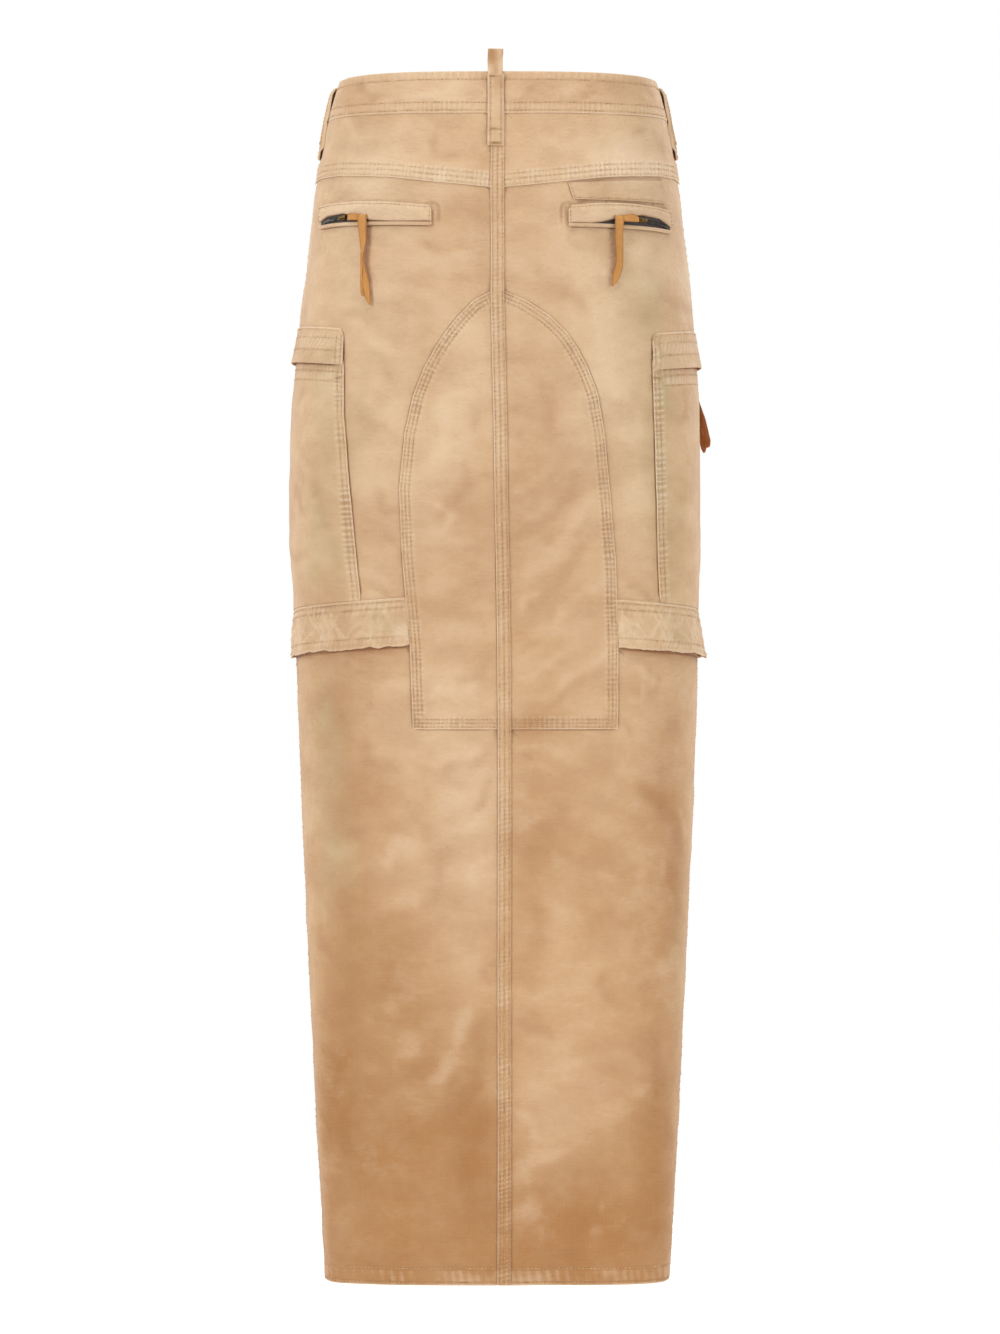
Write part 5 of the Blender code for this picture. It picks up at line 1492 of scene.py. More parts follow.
def edges_on(side):
    """Edges that lie on the cloth below them, along which shade is painted with some grime: (line, strength,
    width).
    """
    sign = SIGN[side]

    def along(function, low, high, strength, width, shift=0.0):
        low, high = sorted((sign * low, sign * high))
        return (across_line(function, low, high, shift), strength, width)

    def down(function, top, foot, strength, width, side_sign=sign):
        return (resample(down_line(function, top, foot, side_sign), 0.004), strength, width)

    def reach(drop):
        return seat_reach(side, drop)

    def skewed(way):
        return FLAP_FOOT + FLAP_LOWERED[side] + FLAP_SKEW * flap_skew(side, way, FLAP_FOOT) ** 1.5

    rows = ZIPS[side]
    start, end = rows[0][0], rows[-1][0]
    seat_end, seam_at = float(reach(SEAT[-1][0])), float(side_way(BAND_TOP))
    flap_start, flap_end = float(pocket_inner(side, FLAP_FOOT)), float(pocket_outer(FLAP_FOOT))
    band_end = seam_at + BAND_REACH
    lines = {
        "waist": [along(waist_seam, 0.0, 0.45, 0.8, 0.0010)],
        "yoke": [along(yoke_foot, 0.0, 0.22, 0.30, 0.0010)],
        "side": [down(lap_edge, 0.04, LENGTH, 0.6, 0.0014)],
        "seat": [
            down(lambda d: reach(d) + 0.0006, SEAT[0][0], SEAT[-1][0], 0.62, 0.0010),
            along(steady(SEAT[-1][0] + 0.0005), 0.006, seat_end, 0.9, 0.0010),
        ],
        "pocket": [
            down(lambda d: pocket_inner(side, d) - 0.0005, FLAP_FOOT, BAND_TOP, 1.0, 0.0012),
            down(lambda d: pocket_inner(side, d), FLAP_FOOT, BAND_TOP, 0.22, 0.0050),
            down(pocket_outer, FLAP_FOOT, BAND_TOP, 0.8, 0.0011),
        ],
        "flap": [
            down(steady(flap_start), 0.224, 0.2515, 0.9, 0.0011),
            down(steady(flap_end), 0.224, 0.2515, 0.8, 0.0011),
            # the broad line is painted shadow under the flap's standing free edge
            along(skewed, flap_start + 0.009, flap_end - 0.009, 0.7, 0.0045),
            along(skewed, flap_start + 0.009, flap_end - 0.009, 0.9, 0.0014, 0.0004),
        ],
        "band_top": [along(band_top, seat_end, band_end, 0.7, 0.0009)],
        # painted shadow that the band's standing raw edge casts on the panel, and a crisp painted line close
        # under it
        "band_foot": [
            along(band_top, seat_end, band_end, 1.0, 0.0015, BAND_HEIGHT + 0.0014),
            along(band_top, seat_end, band_end, 0.9, 0.0050, BAND_HEIGHT + 0.0020),
            along(band_top, seat_end, band_end, 0.3, 0.0120, BAND_HEIGHT + 0.0040),
        ],
        "zip": [
            along(zip_line(side, 1), start, end, 0.45, 0.0011),
            along(zip_line(side, 3), start, end, 0.5, 0.0012, PIPING_HEIGHT),
            down(steady(start), rows[0][1] + WELT_CORNER, rows[0][3] + PIPING_HEIGHT, 0.2, 0.0010),
            (zip_frame(side), 0.45, 0.0017),
            down(steady(end), rows[-1][1], rows[-1][3] + PIPING_HEIGHT, 0.6, 0.0012),
        ],
        # painted shade in the slit, under the welt's foot and along the top of the piping
        "slit": [
            along(zip_line(side, 2), start, end, 0.75, 0.0006),
            along(zip_line(side, 3), start, end, 0.45, 0.0006),
        ],
        "seam_band": [
            down(seam_band_left, 0.037, LENGTH, 0.65, 0.0009, 1),
            down(seam_band_right, 0.037, LENGTH, 0.32, 0.0009, 1),
        ],
        "loops": [
            (np.array([[loop_way(loop, place) + shift, place] for place in (0.002, 0.066)]), 0.9, 0.0014)
            for loop in LOOPS
            for shift in (-LOOP_WIDTH / 2, LOOP_WIDTH / 2)
        ],
        "fly": [
            down(fly_line, 0.034, FLY_FOOT - 0.0002, 0.6, 0.0013, -1),
        ],
    }
    if side == "right":
        corners = (PATCH_TOP[1], PATCH_TOP[0], *PATCH_FOOT, PATCH_TOP[1])
        lines["patch"] = [(resample(np.array(corners), 0.004), 0.75, 0.0010)]
    return lines


def soiled_by(side, *names):
    """The edges of these names on this side of the skirt."""
    lines = edges_on(side)
    return [line for name in names for line in lines.get(name, ())]


def fly_edge(drop):
    """How far the fly reaches from the centre front."""
    low = np.clip((FLY_FOOT - drop) / FLY_CURVE, 0, 1)
    return FLY_WIDTH * np.sqrt(np.clip(1 - (1 - low) ** 2, 0.0001, 1))


def fly_line(drop):
    return half_way(drop) - fly_edge(drop)


# The pieces of the body


def crossing_ridges(way, down, families, seed):
    """Sharp little creases, from 0 to 1 for each family: how far apart they are and how they lean."""
    ridges = 0.0 * way
    for k, (apart, lean) in enumerate(families):
        wave = mottle(way / apart + lean * down, 1.3 * down, seed + k)
        ridges = ridges + (1 - np.minimum(4 * np.abs(wave), 1)) ** 1.4
    return ridges


def make_waistband():
    """The doubled waistband, its left end lapped over its right one at the centre front."""
    half = float(half_way(WAISTBAND_HEIGHT / 2))
    start = half - BAND_OVERLAP

    def creases(way, drop):
        down = drop / WAISTBAND_HEIGHT
        ridges = crossing_ridges(way, down, ((0.017, 1.1), (0.013, -1.5), (0.024, 0.5)), 174)
        patches = smooth(0.5 + 1.6 * mottle(way / 0.035, down, 177)) * smooth((0.20 - np.abs(way)) / 0.03)
        return 0.00045 * ridges * patches * smooth((down - 0.20) * 7) * smooth((0.74 - down) * 8)

    def lift(way, drop):
        return BAND_LIFT - UNDERLAP * smooth((way - start + LAP_SLOPE) / LAP_SLOPE) + creases(way, drop)

    total = 2 * half + BAND_OVERLAP
    net = ruled(
        spread(total, 0.0016),
        spread(WAISTBAND_HEIGHT, 0.0019),
        lambda drop: -half_way(drop) - BAND_OVERLAP,
        half_way,
        steady(0.0),
        lambda way: waist_seam(way) - HALF_GAP,
    )

    def strong(way, drop):
        back = np.exp(-((np.abs(way + 0.034) / 0.034) ** 2))
        back = back + np.exp(-(((way - 0.085) / 0.055) ** 2))
        return 0.35 + 0.75 * np.clip(back, 0, 1)

    top = across_line(steady(0.0), -half - BAND_OVERLAP, half)
    foot = across_line(waist_seam, -half - BAND_OVERLAP, half)
    seams = [
        seam(top, (0.0068,), 1, reach=0.0065, pitch=0.0060, height=0.0004, seed=2, strong=strong, pale=0.4),
        seam(foot, (0.0018, 0.0088), -1, reach=0.0086, pitch=0.0044, height=0.0006, seed=3, strong=strong),
    ]
    for k, sign in enumerate((-1, 1)):
        way = sign * half - (BAND_OVERLAP if sign < 0 else 0)
        end = np.array([[way, 0.002], [way, 0.031]])
        seams.append(seam(end, (0.0022,), sign, height=0.0002, seed=4 + k, pale=0.4))
    sewn_cloth(
        "waistband",
        net,
        lift,
        CLOTH + BAND_LIFT,
        seams,
        held="stretched",
        rests_on=["yoke_left", "yoke_right", "front_panel_left", "front_panel_right"],
        soiled=soiled_by("right", "loops"),
        crumpled=lambda way, drop: creases(way, drop) + 0.00022,
    )


def make_yoke(side, sign):
    """Half of the shallow back yoke, joined at the centre back and lapped over the back panel."""

    def lift(way, drop):
        rise = LAP_RISE * smooth((drop - yoke_seam(way) + YOKE_RAMP) / YOKE_RAMP)
        return side_lap(way, drop) + rise

    way, drop = ruled(
        spread(0.235, 0.0016),
        spread(0.066, 0.0030, ((0.050, 0.066),), 0.0016),
        steady(HALF_GAP),
        lap_edge,
        lambda way: waist_seam(way) + HALF_GAP,
        lambda way: yoke_seam(way) + YOKE_LAP - HALF_GAP,
    )

    def strong(w, d):
        if sign < 0:
            return 0.25 + 1.00 * smooth((0.095 + w) / 0.05)
        return np.full(w.shape, 1.3)

    low, high = sorted((sign * HALF_GAP, sign * 0.222))
    foot = across_line(yoke_foot, low, high)
    seams = [
        seam(foot, (0.0016, 0.0062, 0.0108), -1, pitch=0.0044, height=0.0007, seed=7 + sign, strong=strong),
        seam(down_line(lap_edge, 0.036, 0.086, sign), SIDE_ROWS, sign, seed=9),
    ]
    sewn_cloth(
        f"yoke_{side}",
        (sign * way, drop),
        lift,
        CLOTH,
        seams,
        rests_on=[f"back_panel_{side}"],
        soiled=soiled_by(side, "waist", "seam_band", "loops"),
        cream=0.45,
        thread="worn_thread",
    )


def hem_wall(way, drop):
    return CLOTH + (HEM_CLOTH - CLOTH) * smooth((drop - LENGTH + HEM_HEIGHT) / 0.002)


def hem_seam(low, high, seed):
    line = across_line(steady(LENGTH), low, high)
    return seam(line, HEM_ROWS, -1, reach=HEM_ROWS[-1], pitch=0.0078, height=0.00036, lean=0.15, seed=seed)


def zip_frame(side, away=0.0062, corner=0.0050):
    """A rounded line outside the inner end of a zip pocket's welt."""
    start, top, _, foot = ZIPS[side][0]
    low = foot + PIPING_HEIGHT
    turns = np.radians(np.arange(0, 91, 15))
    edge = start - away
    upper = [(edge + corner * (1 - math.sin(t)), top - away / 2 + corner * (1 - math.cos(t))) for t in turns]
    path = [(start + 0.006, top - away / 2), *upper, (edge, low - 0.001)]
    return resample(np.array(path) * (SIGN[side], 1), 0.0012)


def make_back_panel(side, sign):
    """A back panel, from the yoke to the hem."""
    way, drop = ruled(
        spread(0.245, 0.0034),
        spread(0.955, 0.0036, ((0.928, 0.955),), 0.0019),
        steady(HALF_GAP),
        lap_edge,
        lambda way: yoke_seam(way) + HALF_GAP,
        steady(LENGTH),
    )
    low, high = sorted((sign * 0.001, sign * (float(side_way(LENGTH)) + SIDE_LAP)))
    edge = down_line(lap_edge, 0.086, LENGTH, sign)
    seams = [
        hem_seam(low, high, 11 + sign),
        seam(edge, SIDE_ROWS, sign, reach=0.0085, pitch=0.008, height=0.0005, seed=14 + sign),
        seam(zip_frame(side), (0.0002,), -sign, height=0.0002, seed=17 + sign, pale=0.4),
    ]
    soiled = soiled_by(side, "yoke", "seat", "pocket", "flap", "band_foot", "zip", "seam_band", "patch")
    sewn_cloth(f"back_panel_{side}", (sign * way, drop), side_lap, hem_wall, seams, soiled=soiled)


def make_front_panel(side, sign):
    """A front panel, from the waistband to the hem."""
    way, drop = ruled(
        spread(0.24, 0.0044),
        spread(1.01, 0.0046, ((0.985, 1.01),), 0.0020),
        lambda drop: side_way(drop) + HALF_GAP,
        lambda drop: half_way(drop) - HALF_GAP,
        lambda way: waist_seam(way) + HALF_GAP,
        steady(LENGTH),
    )
    start = float(side_way(LENGTH))
    low, high = sorted((sign * start, sign * float(half_way(LENGTH))))
    front = down_line(half_way, FLY_FOOT, LENGTH, sign)
    seams = [hem_seam(low, high, 21 + sign)]
    rows = (0.002, 0.0075) if side == "left" else ()
    seams.append(seam(front, rows, sign, reach=0.0085, pitch=0.0075, height=0.0005, seed=24 + sign))
    soiled = soiled_by(side, "waist", "side", "pocket", "flap", "band_foot", "loops", "fly")
    sewn_cloth(f"front_panel_{side}", (sign * way, drop), steady(0.0), hem_wall, seams, soiled=soiled)


def make_seat_panel(side, sign):
    """Half of the pointed-arch panel over the seat."""
    way, drop = ruled(
        spread(0.10, 0.0030, ((0.086, 0.10),), 0.0015),
        spread(0.3755, 0.0016),
        steady(HALF_GAP),
        lambda drop: seat_reach(side, drop),
        steady(SEAT[0][0]),
        steady(SEAT[-1][0]),
    )
    rim = down_line(lambda d: seat_reach(side, d), SEAT[0][0], SEAT[-1][0], sign)
    low, high = sorted((sign * 0.001, sign * float(seat_reach(side, SEAT[-1][0]))))
    foot = across_line(steady(SEAT[-1][0]), low, high)
    seams = [
        seam(rim, (0.0016, 0.0050, 0.0084), sign, pitch=0.0042, height=0.0007, seed=31 + sign),
        seam(foot, (0.0016, 0.0050, 0.0080), -1, pitch=0.0044, height=0.0005, seed=34 + sign),
    ]
    net, lift = (sign * way, drop), steady(ON_BODY + CLOTH)
    rests, soiled = [f"back_panel_{side}"], soiled_by(side, "seam_band")
    sewn_cloth(f"seat_panel_{side}", net, lift, CLOTH, seams, "laid", rests, soiled=soiled)


def make_seam_band():
    """The felled centre back seam, triple stitched, which climbs over the yoke lap and the seat panel."""
    way, drop = ruled(
        spread(0.0115, 0.00125),
        spread(1.0, 0.0014),
        seam_band_left,
        seam_band_right,
        steady(SEAM_BAND[0][0]),
        steady(SEAM_BAND[-1][0]),
    )
    left = down_line(seam_band_left, 0.037, LENGTH - 0.0006)
    seams = [seam(left, (0.0014, 0.0057, 0.0098), -1, 0.0110, 0.0042, 0.00036, lean=0.25, seed=41)]
    cloth(
        "back_seam_canvas",
        "back_seam_band",
        (way, drop),
        lambda w, d: along_table(SEAM_LIFT, d) + THIN,
        THIN,
        seams,
        held="laid",
        rests_on=["back_panel_left", "back_panel_right", "yoke_left", "yoke_right"],
        material="trim",
    )
    sew("back_seam_stitches", "back_seam_canvas", seams)


# Pockets


def make_cargo_pocket(side, sign):
    """The patch pocket round a side, a little puffed between its sewn edges."""

    def top(way):
        return POCKET_TOP + FLAP_SKEW * flap_skew(side, way, POCKET_TOP) ** 1.5

    way, drop = ruled(
        spread(0.19, 0.0032, ((0.0, 0.010), (0.18, 0.19)), 0.0016),
        spread(0.215, 0.0018),
        lambda drop: pocket_inner(side, drop),
        pocket_outer,
        top,
        lambda way: band_top(way) - 2 * SEAM_GAP,
    )

    def lift(w, d):
        start = pocket_inner(side, d)
        across = (np.abs(w) - start) / (pocket_outer(d) - start)
        down = (d - POCKET_TOP) / (BAND_TOP - POCKET_TOP)
        bulge = smooth(across / PUFF_MARGIN) * smooth((1 - across) / PUFF_MARGIN)
        bulge = bulge * smooth(down / PUFF_MARGIN) * smooth((1 - down) / PUFF_MARGIN)
        return ON_BODY + over_side_lap(w, d) + POCKET_PUFF[side] * bulge + CLOTH

    inner = down_line(lambda d: pocket_inner(side, d), 0.243, 0.452, sign)
    outer = down_line(pocket_outer, 0.243, 0.461, sign)
    low, high = sorted((sign * 0.137, sign * 0.328))
    seams = [
        seam(inner, (0.0016, 0.0062), -sign, 0.0095, 0.0048, 0.0010, lean=0.1, seed=51 + sign),
        seam(outer, (0.0016, 0.0062), sign, reach=0.009, pitch=0.0050, height=0.0008, seed=54 + sign),
        seam(
            across_line(lambda way: top(way) + FLAP_LOWERED[side], low, high),
            (0.0105, 0.0188),
            reach=0.0188,
            pitch=0.0054,
            height=0.0006,
            seed=57 + sign,
        ),
    ]
    start, end = float(pocket_inner(side, 0.262)), float(pocket_inner(side, 0.2625)) + 0.0075
    tack = ((sign * (start + 0.0008), 0.2625), (sign * end, 0.2628))
    sewn_cloth(
        f"cargo_pocket_{side}",
        (sign * way, drop),
        lift,
        CLOTH,
        seams,
        "laid",
        [f"back_panel_{side}", f"front_panel_{side}"],
        soiled=soiled_by(side, "flap", "band_top"),
        bars=[tack],
    )


def make_flap(side, sign):
    """The shallow flap over a cargo pocket's mouth, its free edge standing off."""
    start = steady(pocket_inner(side, FLAP_FOOT))
    end = steady(pocket_outer(FLAP_FOOT))

    def line(way, drop):
        return drop + FLAP_LOWERED[side] + FLAP_SKEW * flap_skew(side, way, drop) ** 1.5

    def top(way):
        near = np.minimum(way - pocket_inner(side, FLAP_FOOT), pocket_outer(FLAP_FOOT) - way)
        corner = FLAP_CORNER * (1 - np.sqrt(np.clip(1 - (1 - np.clip(near / FLAP_CORNER, 0, 1)) ** 2, 0, 1)))
        return line(way, FLAP_TOP) + corner

    way, drop = ruled(
        spread(0.195, 0.0016, ((0.0, 0.009), (0.186, 0.195)), 0.0013),
        spread(0.031, 0.0017),
        start,
        end,
        top,
        lambda way: line(way, FLAP_FOOT),
    )

    def lift(w, d):
        skew = flap_skew(side, w, d)
        down = (d - FLAP_LOWERED[side] - FLAP_SKEW * skew**1.5 - FLAP_TOP) / (FLAP_FOOT - FLAP_TOP)
        stand = FLAP_STAND * (1 - 0.60 * skew**2) * smooth((1.02 - skew) / 0.12)
        rise = (ON_PANEL - ON_BODY) * smooth(down / 0.75)
        return ON_BODY + over_side_lap(w, d) + rise + stand * np.maximum(down, 0) ** 2 + CLOTH

    low, high = sorted((sign * (float(start(0.23)) + 0.003), sign * (float(end(0.23)) - 0.003)))
    level = across_line(lambda w: line(w, FLAP_TOP), low, high)
    inner = down_line(start, *FLAP_ENDS, sign)
    outer = down_line(end, *FLAP_ENDS, sign)
    seams = [
        seam(level, (0.0018, 0.0088), 1, reach=0.0085, pitch=0.0060, height=0.0004, seed=61 + sign),
        seam(level, (0.0195,), 1, 0.0195, 0.0062, 0.0006, lean=0.7, seed=64 + sign, pale=0.6),
        seam(inner, (0.0018, 0.0072), -sign, reach=0.008, pitch=0.006, height=0.0004, seed=66),
        seam(outer, (0.0018, 0.0072), sign, reach=0.008, pitch=0.006, height=0.0004, seed=67),
    ]
    sewn_cloth(
        f"pocket_flap_{side}",
        (sign * way, drop),
        lift,
        CLOTH,
        seams,
        "laid",
        [f"cargo_pocket_{side}", f"back_panel_{side}", f"front_panel_{side}"],
        pale=0.05,
        material="crumpled",
    )


def make_band(side, sign):
    """The raw-edged band below a cargo pocket, from the seat panel round the side."""

    def left(drop):
        return seat_reach(side, drop) + SEAM_GAP

    right = steady(side_way(BAND_TOP) + BAND_REACH)

    def foot(way):
        ragged = 0.0009 * mottle(way / 0.009, 0, 71 + SIGN[side]) + 0.0005 * mottle(way / 0.003, 0, 72)
        return band_top(way) + BAND_HEIGHT + ragged

    way, drop = ruled(
        spread(0.25, 0.0016),
        spread(BAND_HEIGHT, 0.0018),
        left,
        right,
        band_top,
        foot,
    )

    def lift(w, d):
        down = (d - band_top(w)) / BAND_HEIGHT
        near_side = smooth(1 - np.abs(np.abs(w) - side_way(BAND_TOP)) / 0.10)
        stand = BAND_STAND[side] * near_side + BAND_LEAST_STAND
        free = np.clip((down - 0.3) / 0.7, 0, 1.2)
        return ON_BODY + over_side_lap(w, d) + stand * free**1.3 + CLOTH + crumples(w, d)

    def crumples(w, d):
        down = (d - band_top(w)) / BAND_HEIGHT
        ridges = 0.0009 * crossing_ridges(np.abs(w), down, ((0.012, 1.9), (0.010, -2.3), (0.016, 0.5)), 74)
        return ridges * smooth((down - 0.06) * 6) * smooth((0.97 - down) * 6)

    low, high = sorted((sign * (float(left(BAND_TOP)) + 0.001), sign * (float(right(BAND_TOP)) - 0.001)))
    top_line = across_line(band_top, low, high)
    foot_line = across_line(band_top, low, high, BAND_HEIGHT)
    seams = [
        seam(top_line, (0.0026, 0.0080), 1, 0.011, 0.0052, 0.0003, lean=0.3, seed=75 + sign),
        seam(foot_line, (0.0080,), -1, 0.0105, 0.0045, 0.0003, lean=-0.3, seed=78 + sign),
    ]
    sewn_cloth(
        f"pocket_band_{side}",
        (sign * way, drop),
        lift,
        CLOTH,
        seams,
        "laid",
        [f"back_panel_{side}", f"front_panel_{side}"],
        pale=0.22,
        material="crumpled",
        crumpled=crumples,
    )
    fray(f"pocket_band_{side}_fray", f"pocket_band_{side}_canvas", sign * way[-1], drop[-1])


def fray(name, on, way, drop):
    """Cut ends of thread along a raw edge."""
    chance = np.random.RandomState(5)
    line = resample(np.stack([way, drop], axis=1), 0.0011)
    count = len(line)
    lift = SURFACES[on](line[:, 0], line[:, 1]) - 0.0006
    root = at(line[:, 0], line[:, 1] - 0.0006, lift)
    along, down, out = facing(line[:, 0], line[:, 1])
    reach = chance.uniform(0.0010, 0.0032, count)[:, None]
    lean = chance.uniform(-0.9, 0.9, count)[:, None]
    curl = chance.uniform(-0.4, 0.9, count)[:, None]
    points = []
    for t, size in ((0.0, 1.0), (0.5, 0.8), (1.0, 0.35)):
        middle = root + down * reach * t + along * reach * lean * t**1.5 + out * reach * curl * t**2
        for k in range(3):
            angle = k * 2 * math.pi / 3
            ring = (along * math.cos(angle) + out * math.sin(angle)) * 0.00017 * size
            points.append(middle + ring)
    points = np.stack(points, axis=1)
    faces = [(8, 7, 6, 6), (0, 1, 2, 2)]
    for ring in (0, 3):
        for k in range(3):
            j = (k + 1) % 3
            faces.append((ring + k, ring + 3 + k, ring + 3 + j, ring + j))
    placed(name, repeated(name, points, faces), MATERIALS["thread"], "canvas")


def zip_line(side, field):
    """Reads one measure of a zip pocket by way."""
    rows = ZIPS[side]
    return lambda way: np.interp(np.abs(way), [row[0] for row in rows], [row[field] for row in rows])


def make_zip_pocket(side, sign):
    """A back pocket: its tape, the welt above and the piping below."""
    rows = ZIPS[side]
    start, end = rows[0][0], rows[-1][0]
    top, foot, piping = (zip_line(side, k) for k in (1, 2, 3))
    panel = [f"back_panel_{side}"]
    bounds = (steady(start), steady(end))

    def rounded(way):
        near = np.clip((way - start) / WELT_CORNER, 0, 1)
        return top(way) + WELT_CORNER * (1 - np.sqrt(1 - (1 - near) ** 2))

    columns = spread(end - start, 0.0018, ((0.0, 0.005),), 0.0006)
    way, drop = ruled(columns, spread(0.014, 0.0014), *bounds, rounded, foot)
    low, high = sorted((sign * start, sign * end))
    ends = {
        "inner": np.array([[sign * start, top(start) + WELT_CORNER], [sign * start, foot(start)]]),
        "outer": np.array([[sign * end, top(end) + 0.001], [sign * end, foot(end)]]),
    }
    seams = [
        seam(across_line(top, low, high), (0.0016,), 1, height=0.0002, seed=81, pale=0.5),
        seam(ends["inner"], (0.0014,), -sign, height=0.0002, seed=82, pale=0.5),
        seam(ends["outer"], (0.0014,), sign, height=0.0002, seed=83, pale=0.5),
    ]

    def welt_lift(w, d):
        share = np.clip((d - top(w)) / np.maximum(foot(w) - top(w), 1e-4), 0, 1)
        return ON_TAPE + CLOTH + 0.0007 * smooth(share * 2) - 0.0005 * smooth((share - 0.86) / 0.14)

    net, soiled = (sign * way, drop), soiled_by(side, "slit")
    sewn_cloth(f"welt_{side}", net, welt_lift, CLOTH, seams, "folded", panel, pale=0.35, soiled=soiled)

    columns, rows = spread(end - start, 0.0020), spread(PIPING_HEIGHT, 0.0005)
    way, drop = ruled(columns, rows, *bounds, piping, lambda way: piping(way) + PIPING_HEIGHT)

    def roll(w, d):
        share = np.clip((d - piping(w)) / PIPING_HEIGHT, 0, 1)
        return ON_TAPE + CLOTH * 0.35 + 0.0012 * np.sqrt(np.clip(1 - (2 * share - 1) ** 2, 0, 1))

    cloth(
        f"lower_welt_{side}_canvas",
        f"lower_welt_{side}",
        (sign * way, drop),
        roll,
        lambda w, d: np.maximum(roll(w, d) - ON_TAPE, 0.0004),
        (),
        "folded",
        panel,
        pale=0.1,
        soiled=soiled,
    )

    way, drop = ruled(
        spread(end - start, 0.003),
        spread(0.015, 0.0015),
        steady(start + 0.002),
        steady(end - 0.002),
        lambda way: top(way) + 0.005,
        lambda way: piping(way) + 0.002,
    )
    cloth(
        f"zip_tape_{side}_woven",
        f"zip_tape_{side}",
        (sign * way, drop),
        steady(ON_BODY + THIN),
        THIN,
        held="laid",
        rests_on=panel,
        material="tape",
        slot="zip_tape",
    )


def make_small_pieces():
    """The bare patch over the right zip pocket and the fly placket."""

    def top(way):
        return np.interp(way, *zip(*PATCH_TOP))

    def foot(way):
        return np.interp(way, *zip(*PATCH_FOOT))

    def left(drop):
        return PATCH_TOP[0][0] + (drop - PATCH_TOP[0][1]) * 0.33

    def right(drop):
        return PATCH_TOP[1][0] + (drop - PATCH_TOP[1][1]) * 0.15

    net = ruled(spread(0.1, 0.0020), spread(0.017, 0.0016), left, right, top, foot)
    inner = np.array([PATCH_TOP[0], PATCH_FOOT[0]])
    lower = across_line(foot, PATCH_FOOT[0][0], PATCH_FOOT[1][0])
    seams = [
        seam(lower, (0.0012,), -1, pitch=0.012, height=0.0003, seed=91, pale=0.3),
        seam(inner, (0.0012,), -1, height=0.0002, seed=92, pale=0.5),
    ]

    def raised(w, d):
        return ON_BODY + THIN + 0.0004 + 0.0003 * mottle(w / 0.007, d / 0.006, 93)

    sewn_cloth("patch", net, raised, THIN, seams, "laid", ["back_panel_right"], ochre=0.25)

    way, drop = ruled(
        spread(FLY_WIDTH, 0.002),
        spread(0.17, 0.0026),
        fly_line,
        lambda drop: half_way(drop) - SEAM_GAP,
        lambda way: waist_seam(way) + SEAM_GAP,
        steady(FLY_FOOT),
    )
    curve = down_line(fly_line, 0.034, FLY_FOOT - 0.0002, -1)
    seams = [seam(curve, (0.002, 0.0075), 1, reach=0.008, pitch=0.0066, height=0.0004, seed=95)]
    lift, rests = steady(ON_BODY + CLOTH), ["front_panel_left"]
    sewn_cloth("fly_placket", (-way, drop), lift, CLOTH, seams, "laid", rests)


def loop_way(loop, drop):
    """The way of a belt loop's middle line."""
    round_share = abs(loop.round)
    if round_share <= 1:
        return math.copysign(side_way(drop) * round_share, loop.round) + loop.shift
    way = side_way(drop) + (half_way(drop) - side_way(drop)) * (round_share - 1)
    return math.copysign(1, loop.round) * way + loop.shift


def make_belt_loop(k, loop):
    """A folded strip, sewn down at both ends and standing off between them."""
    lifts = (
        loop.top_seat,
        LOOP_STAND,
        LOOP_STAND,
        LOOP_STAND - 0.001,
        loop.foot_seat + 0.0008,
        loop.foot_seat,
        loop.foot_seat,
    )

    def loop_middle(d):
        drops = np.linspace(0, 0.07, 15)
        return np.interp(d, drops, [float(loop_way(loop, place)) for place in drops])

    def lift(w, d):
        stand = np.interp(d, LOOP_DROPS, lifts)
        under = np.interp(d, (0.033, 0.038), (0.0013, 0.0003))
        aside = (w - loop_middle(d)) / (LOOP_WIDTH / 2)
        # the edge that faces the front closes on the body, the other only leans to it
        front = aside * (np.sign(loop.round) or 1) > 0
        leaning = 0.35 + 0.6 * smooth((d - 0.008) / 0.020)
        curl = np.clip(np.abs(aside), 0, 1) ** 3 * np.where(front, 1.0, leaning)
        foot_free = smooth((LOOP_DROPS[-2] - d) / 0.006)
        free = smooth((d - LOOP_DROPS[0]) / 0.006) * np.where(front, 1.0, foot_free)
        return stand + LOOP_THICK - curl * free * np.maximum(stand - under, 0)

    us, vs = spread(LOOP_WIDTH, 0.0012), spread(0.062, 0.0014)
    u, v = np.meshgrid(us, vs)
    drop = LOOP_DROPS[0] + (LOOP_DROPS[-1] - LOOP_DROPS[0]) * v
    middle = loop_middle(drop[:, 0])
    way = middle[:, None] + (u - 0.5) * LOOP_WIDTH
    left = np.stack([middle - LOOP_WIDTH / 2, drop[:, 0]], axis=1)
    right = np.stack([middle + LOOP_WIDTH / 2, drop[:, 0]], axis=1)
    seams = [
        seam(left, (0.0022,), -1, pitch=0.007, height=0.0003, seed=101 + k, pale=1.0),
        seam(right, (0.0022,), 1, pitch=0.007, height=0.0003, seed=111 + k, pale=1.0),
    ]
    reach = LOOP_WIDTH / 2 - 0.0014
    tacks = []
    for place in (0.0052, 0.0515, 0.0636):
        middle_way = float(loop_way(loop, place))
        tacks.append(((middle_way - reach, place), (middle_way + reach, place)))
    rests = ["waistband", LOOP_FOOT_ON[loop.name]]
    net = (way, drop)
    sewn_cloth(loop.name, net, lift, LOOP_THICK, seams, "folded", rests, material="trim", bars=tacks)


# Strips of suede and the hanger tab


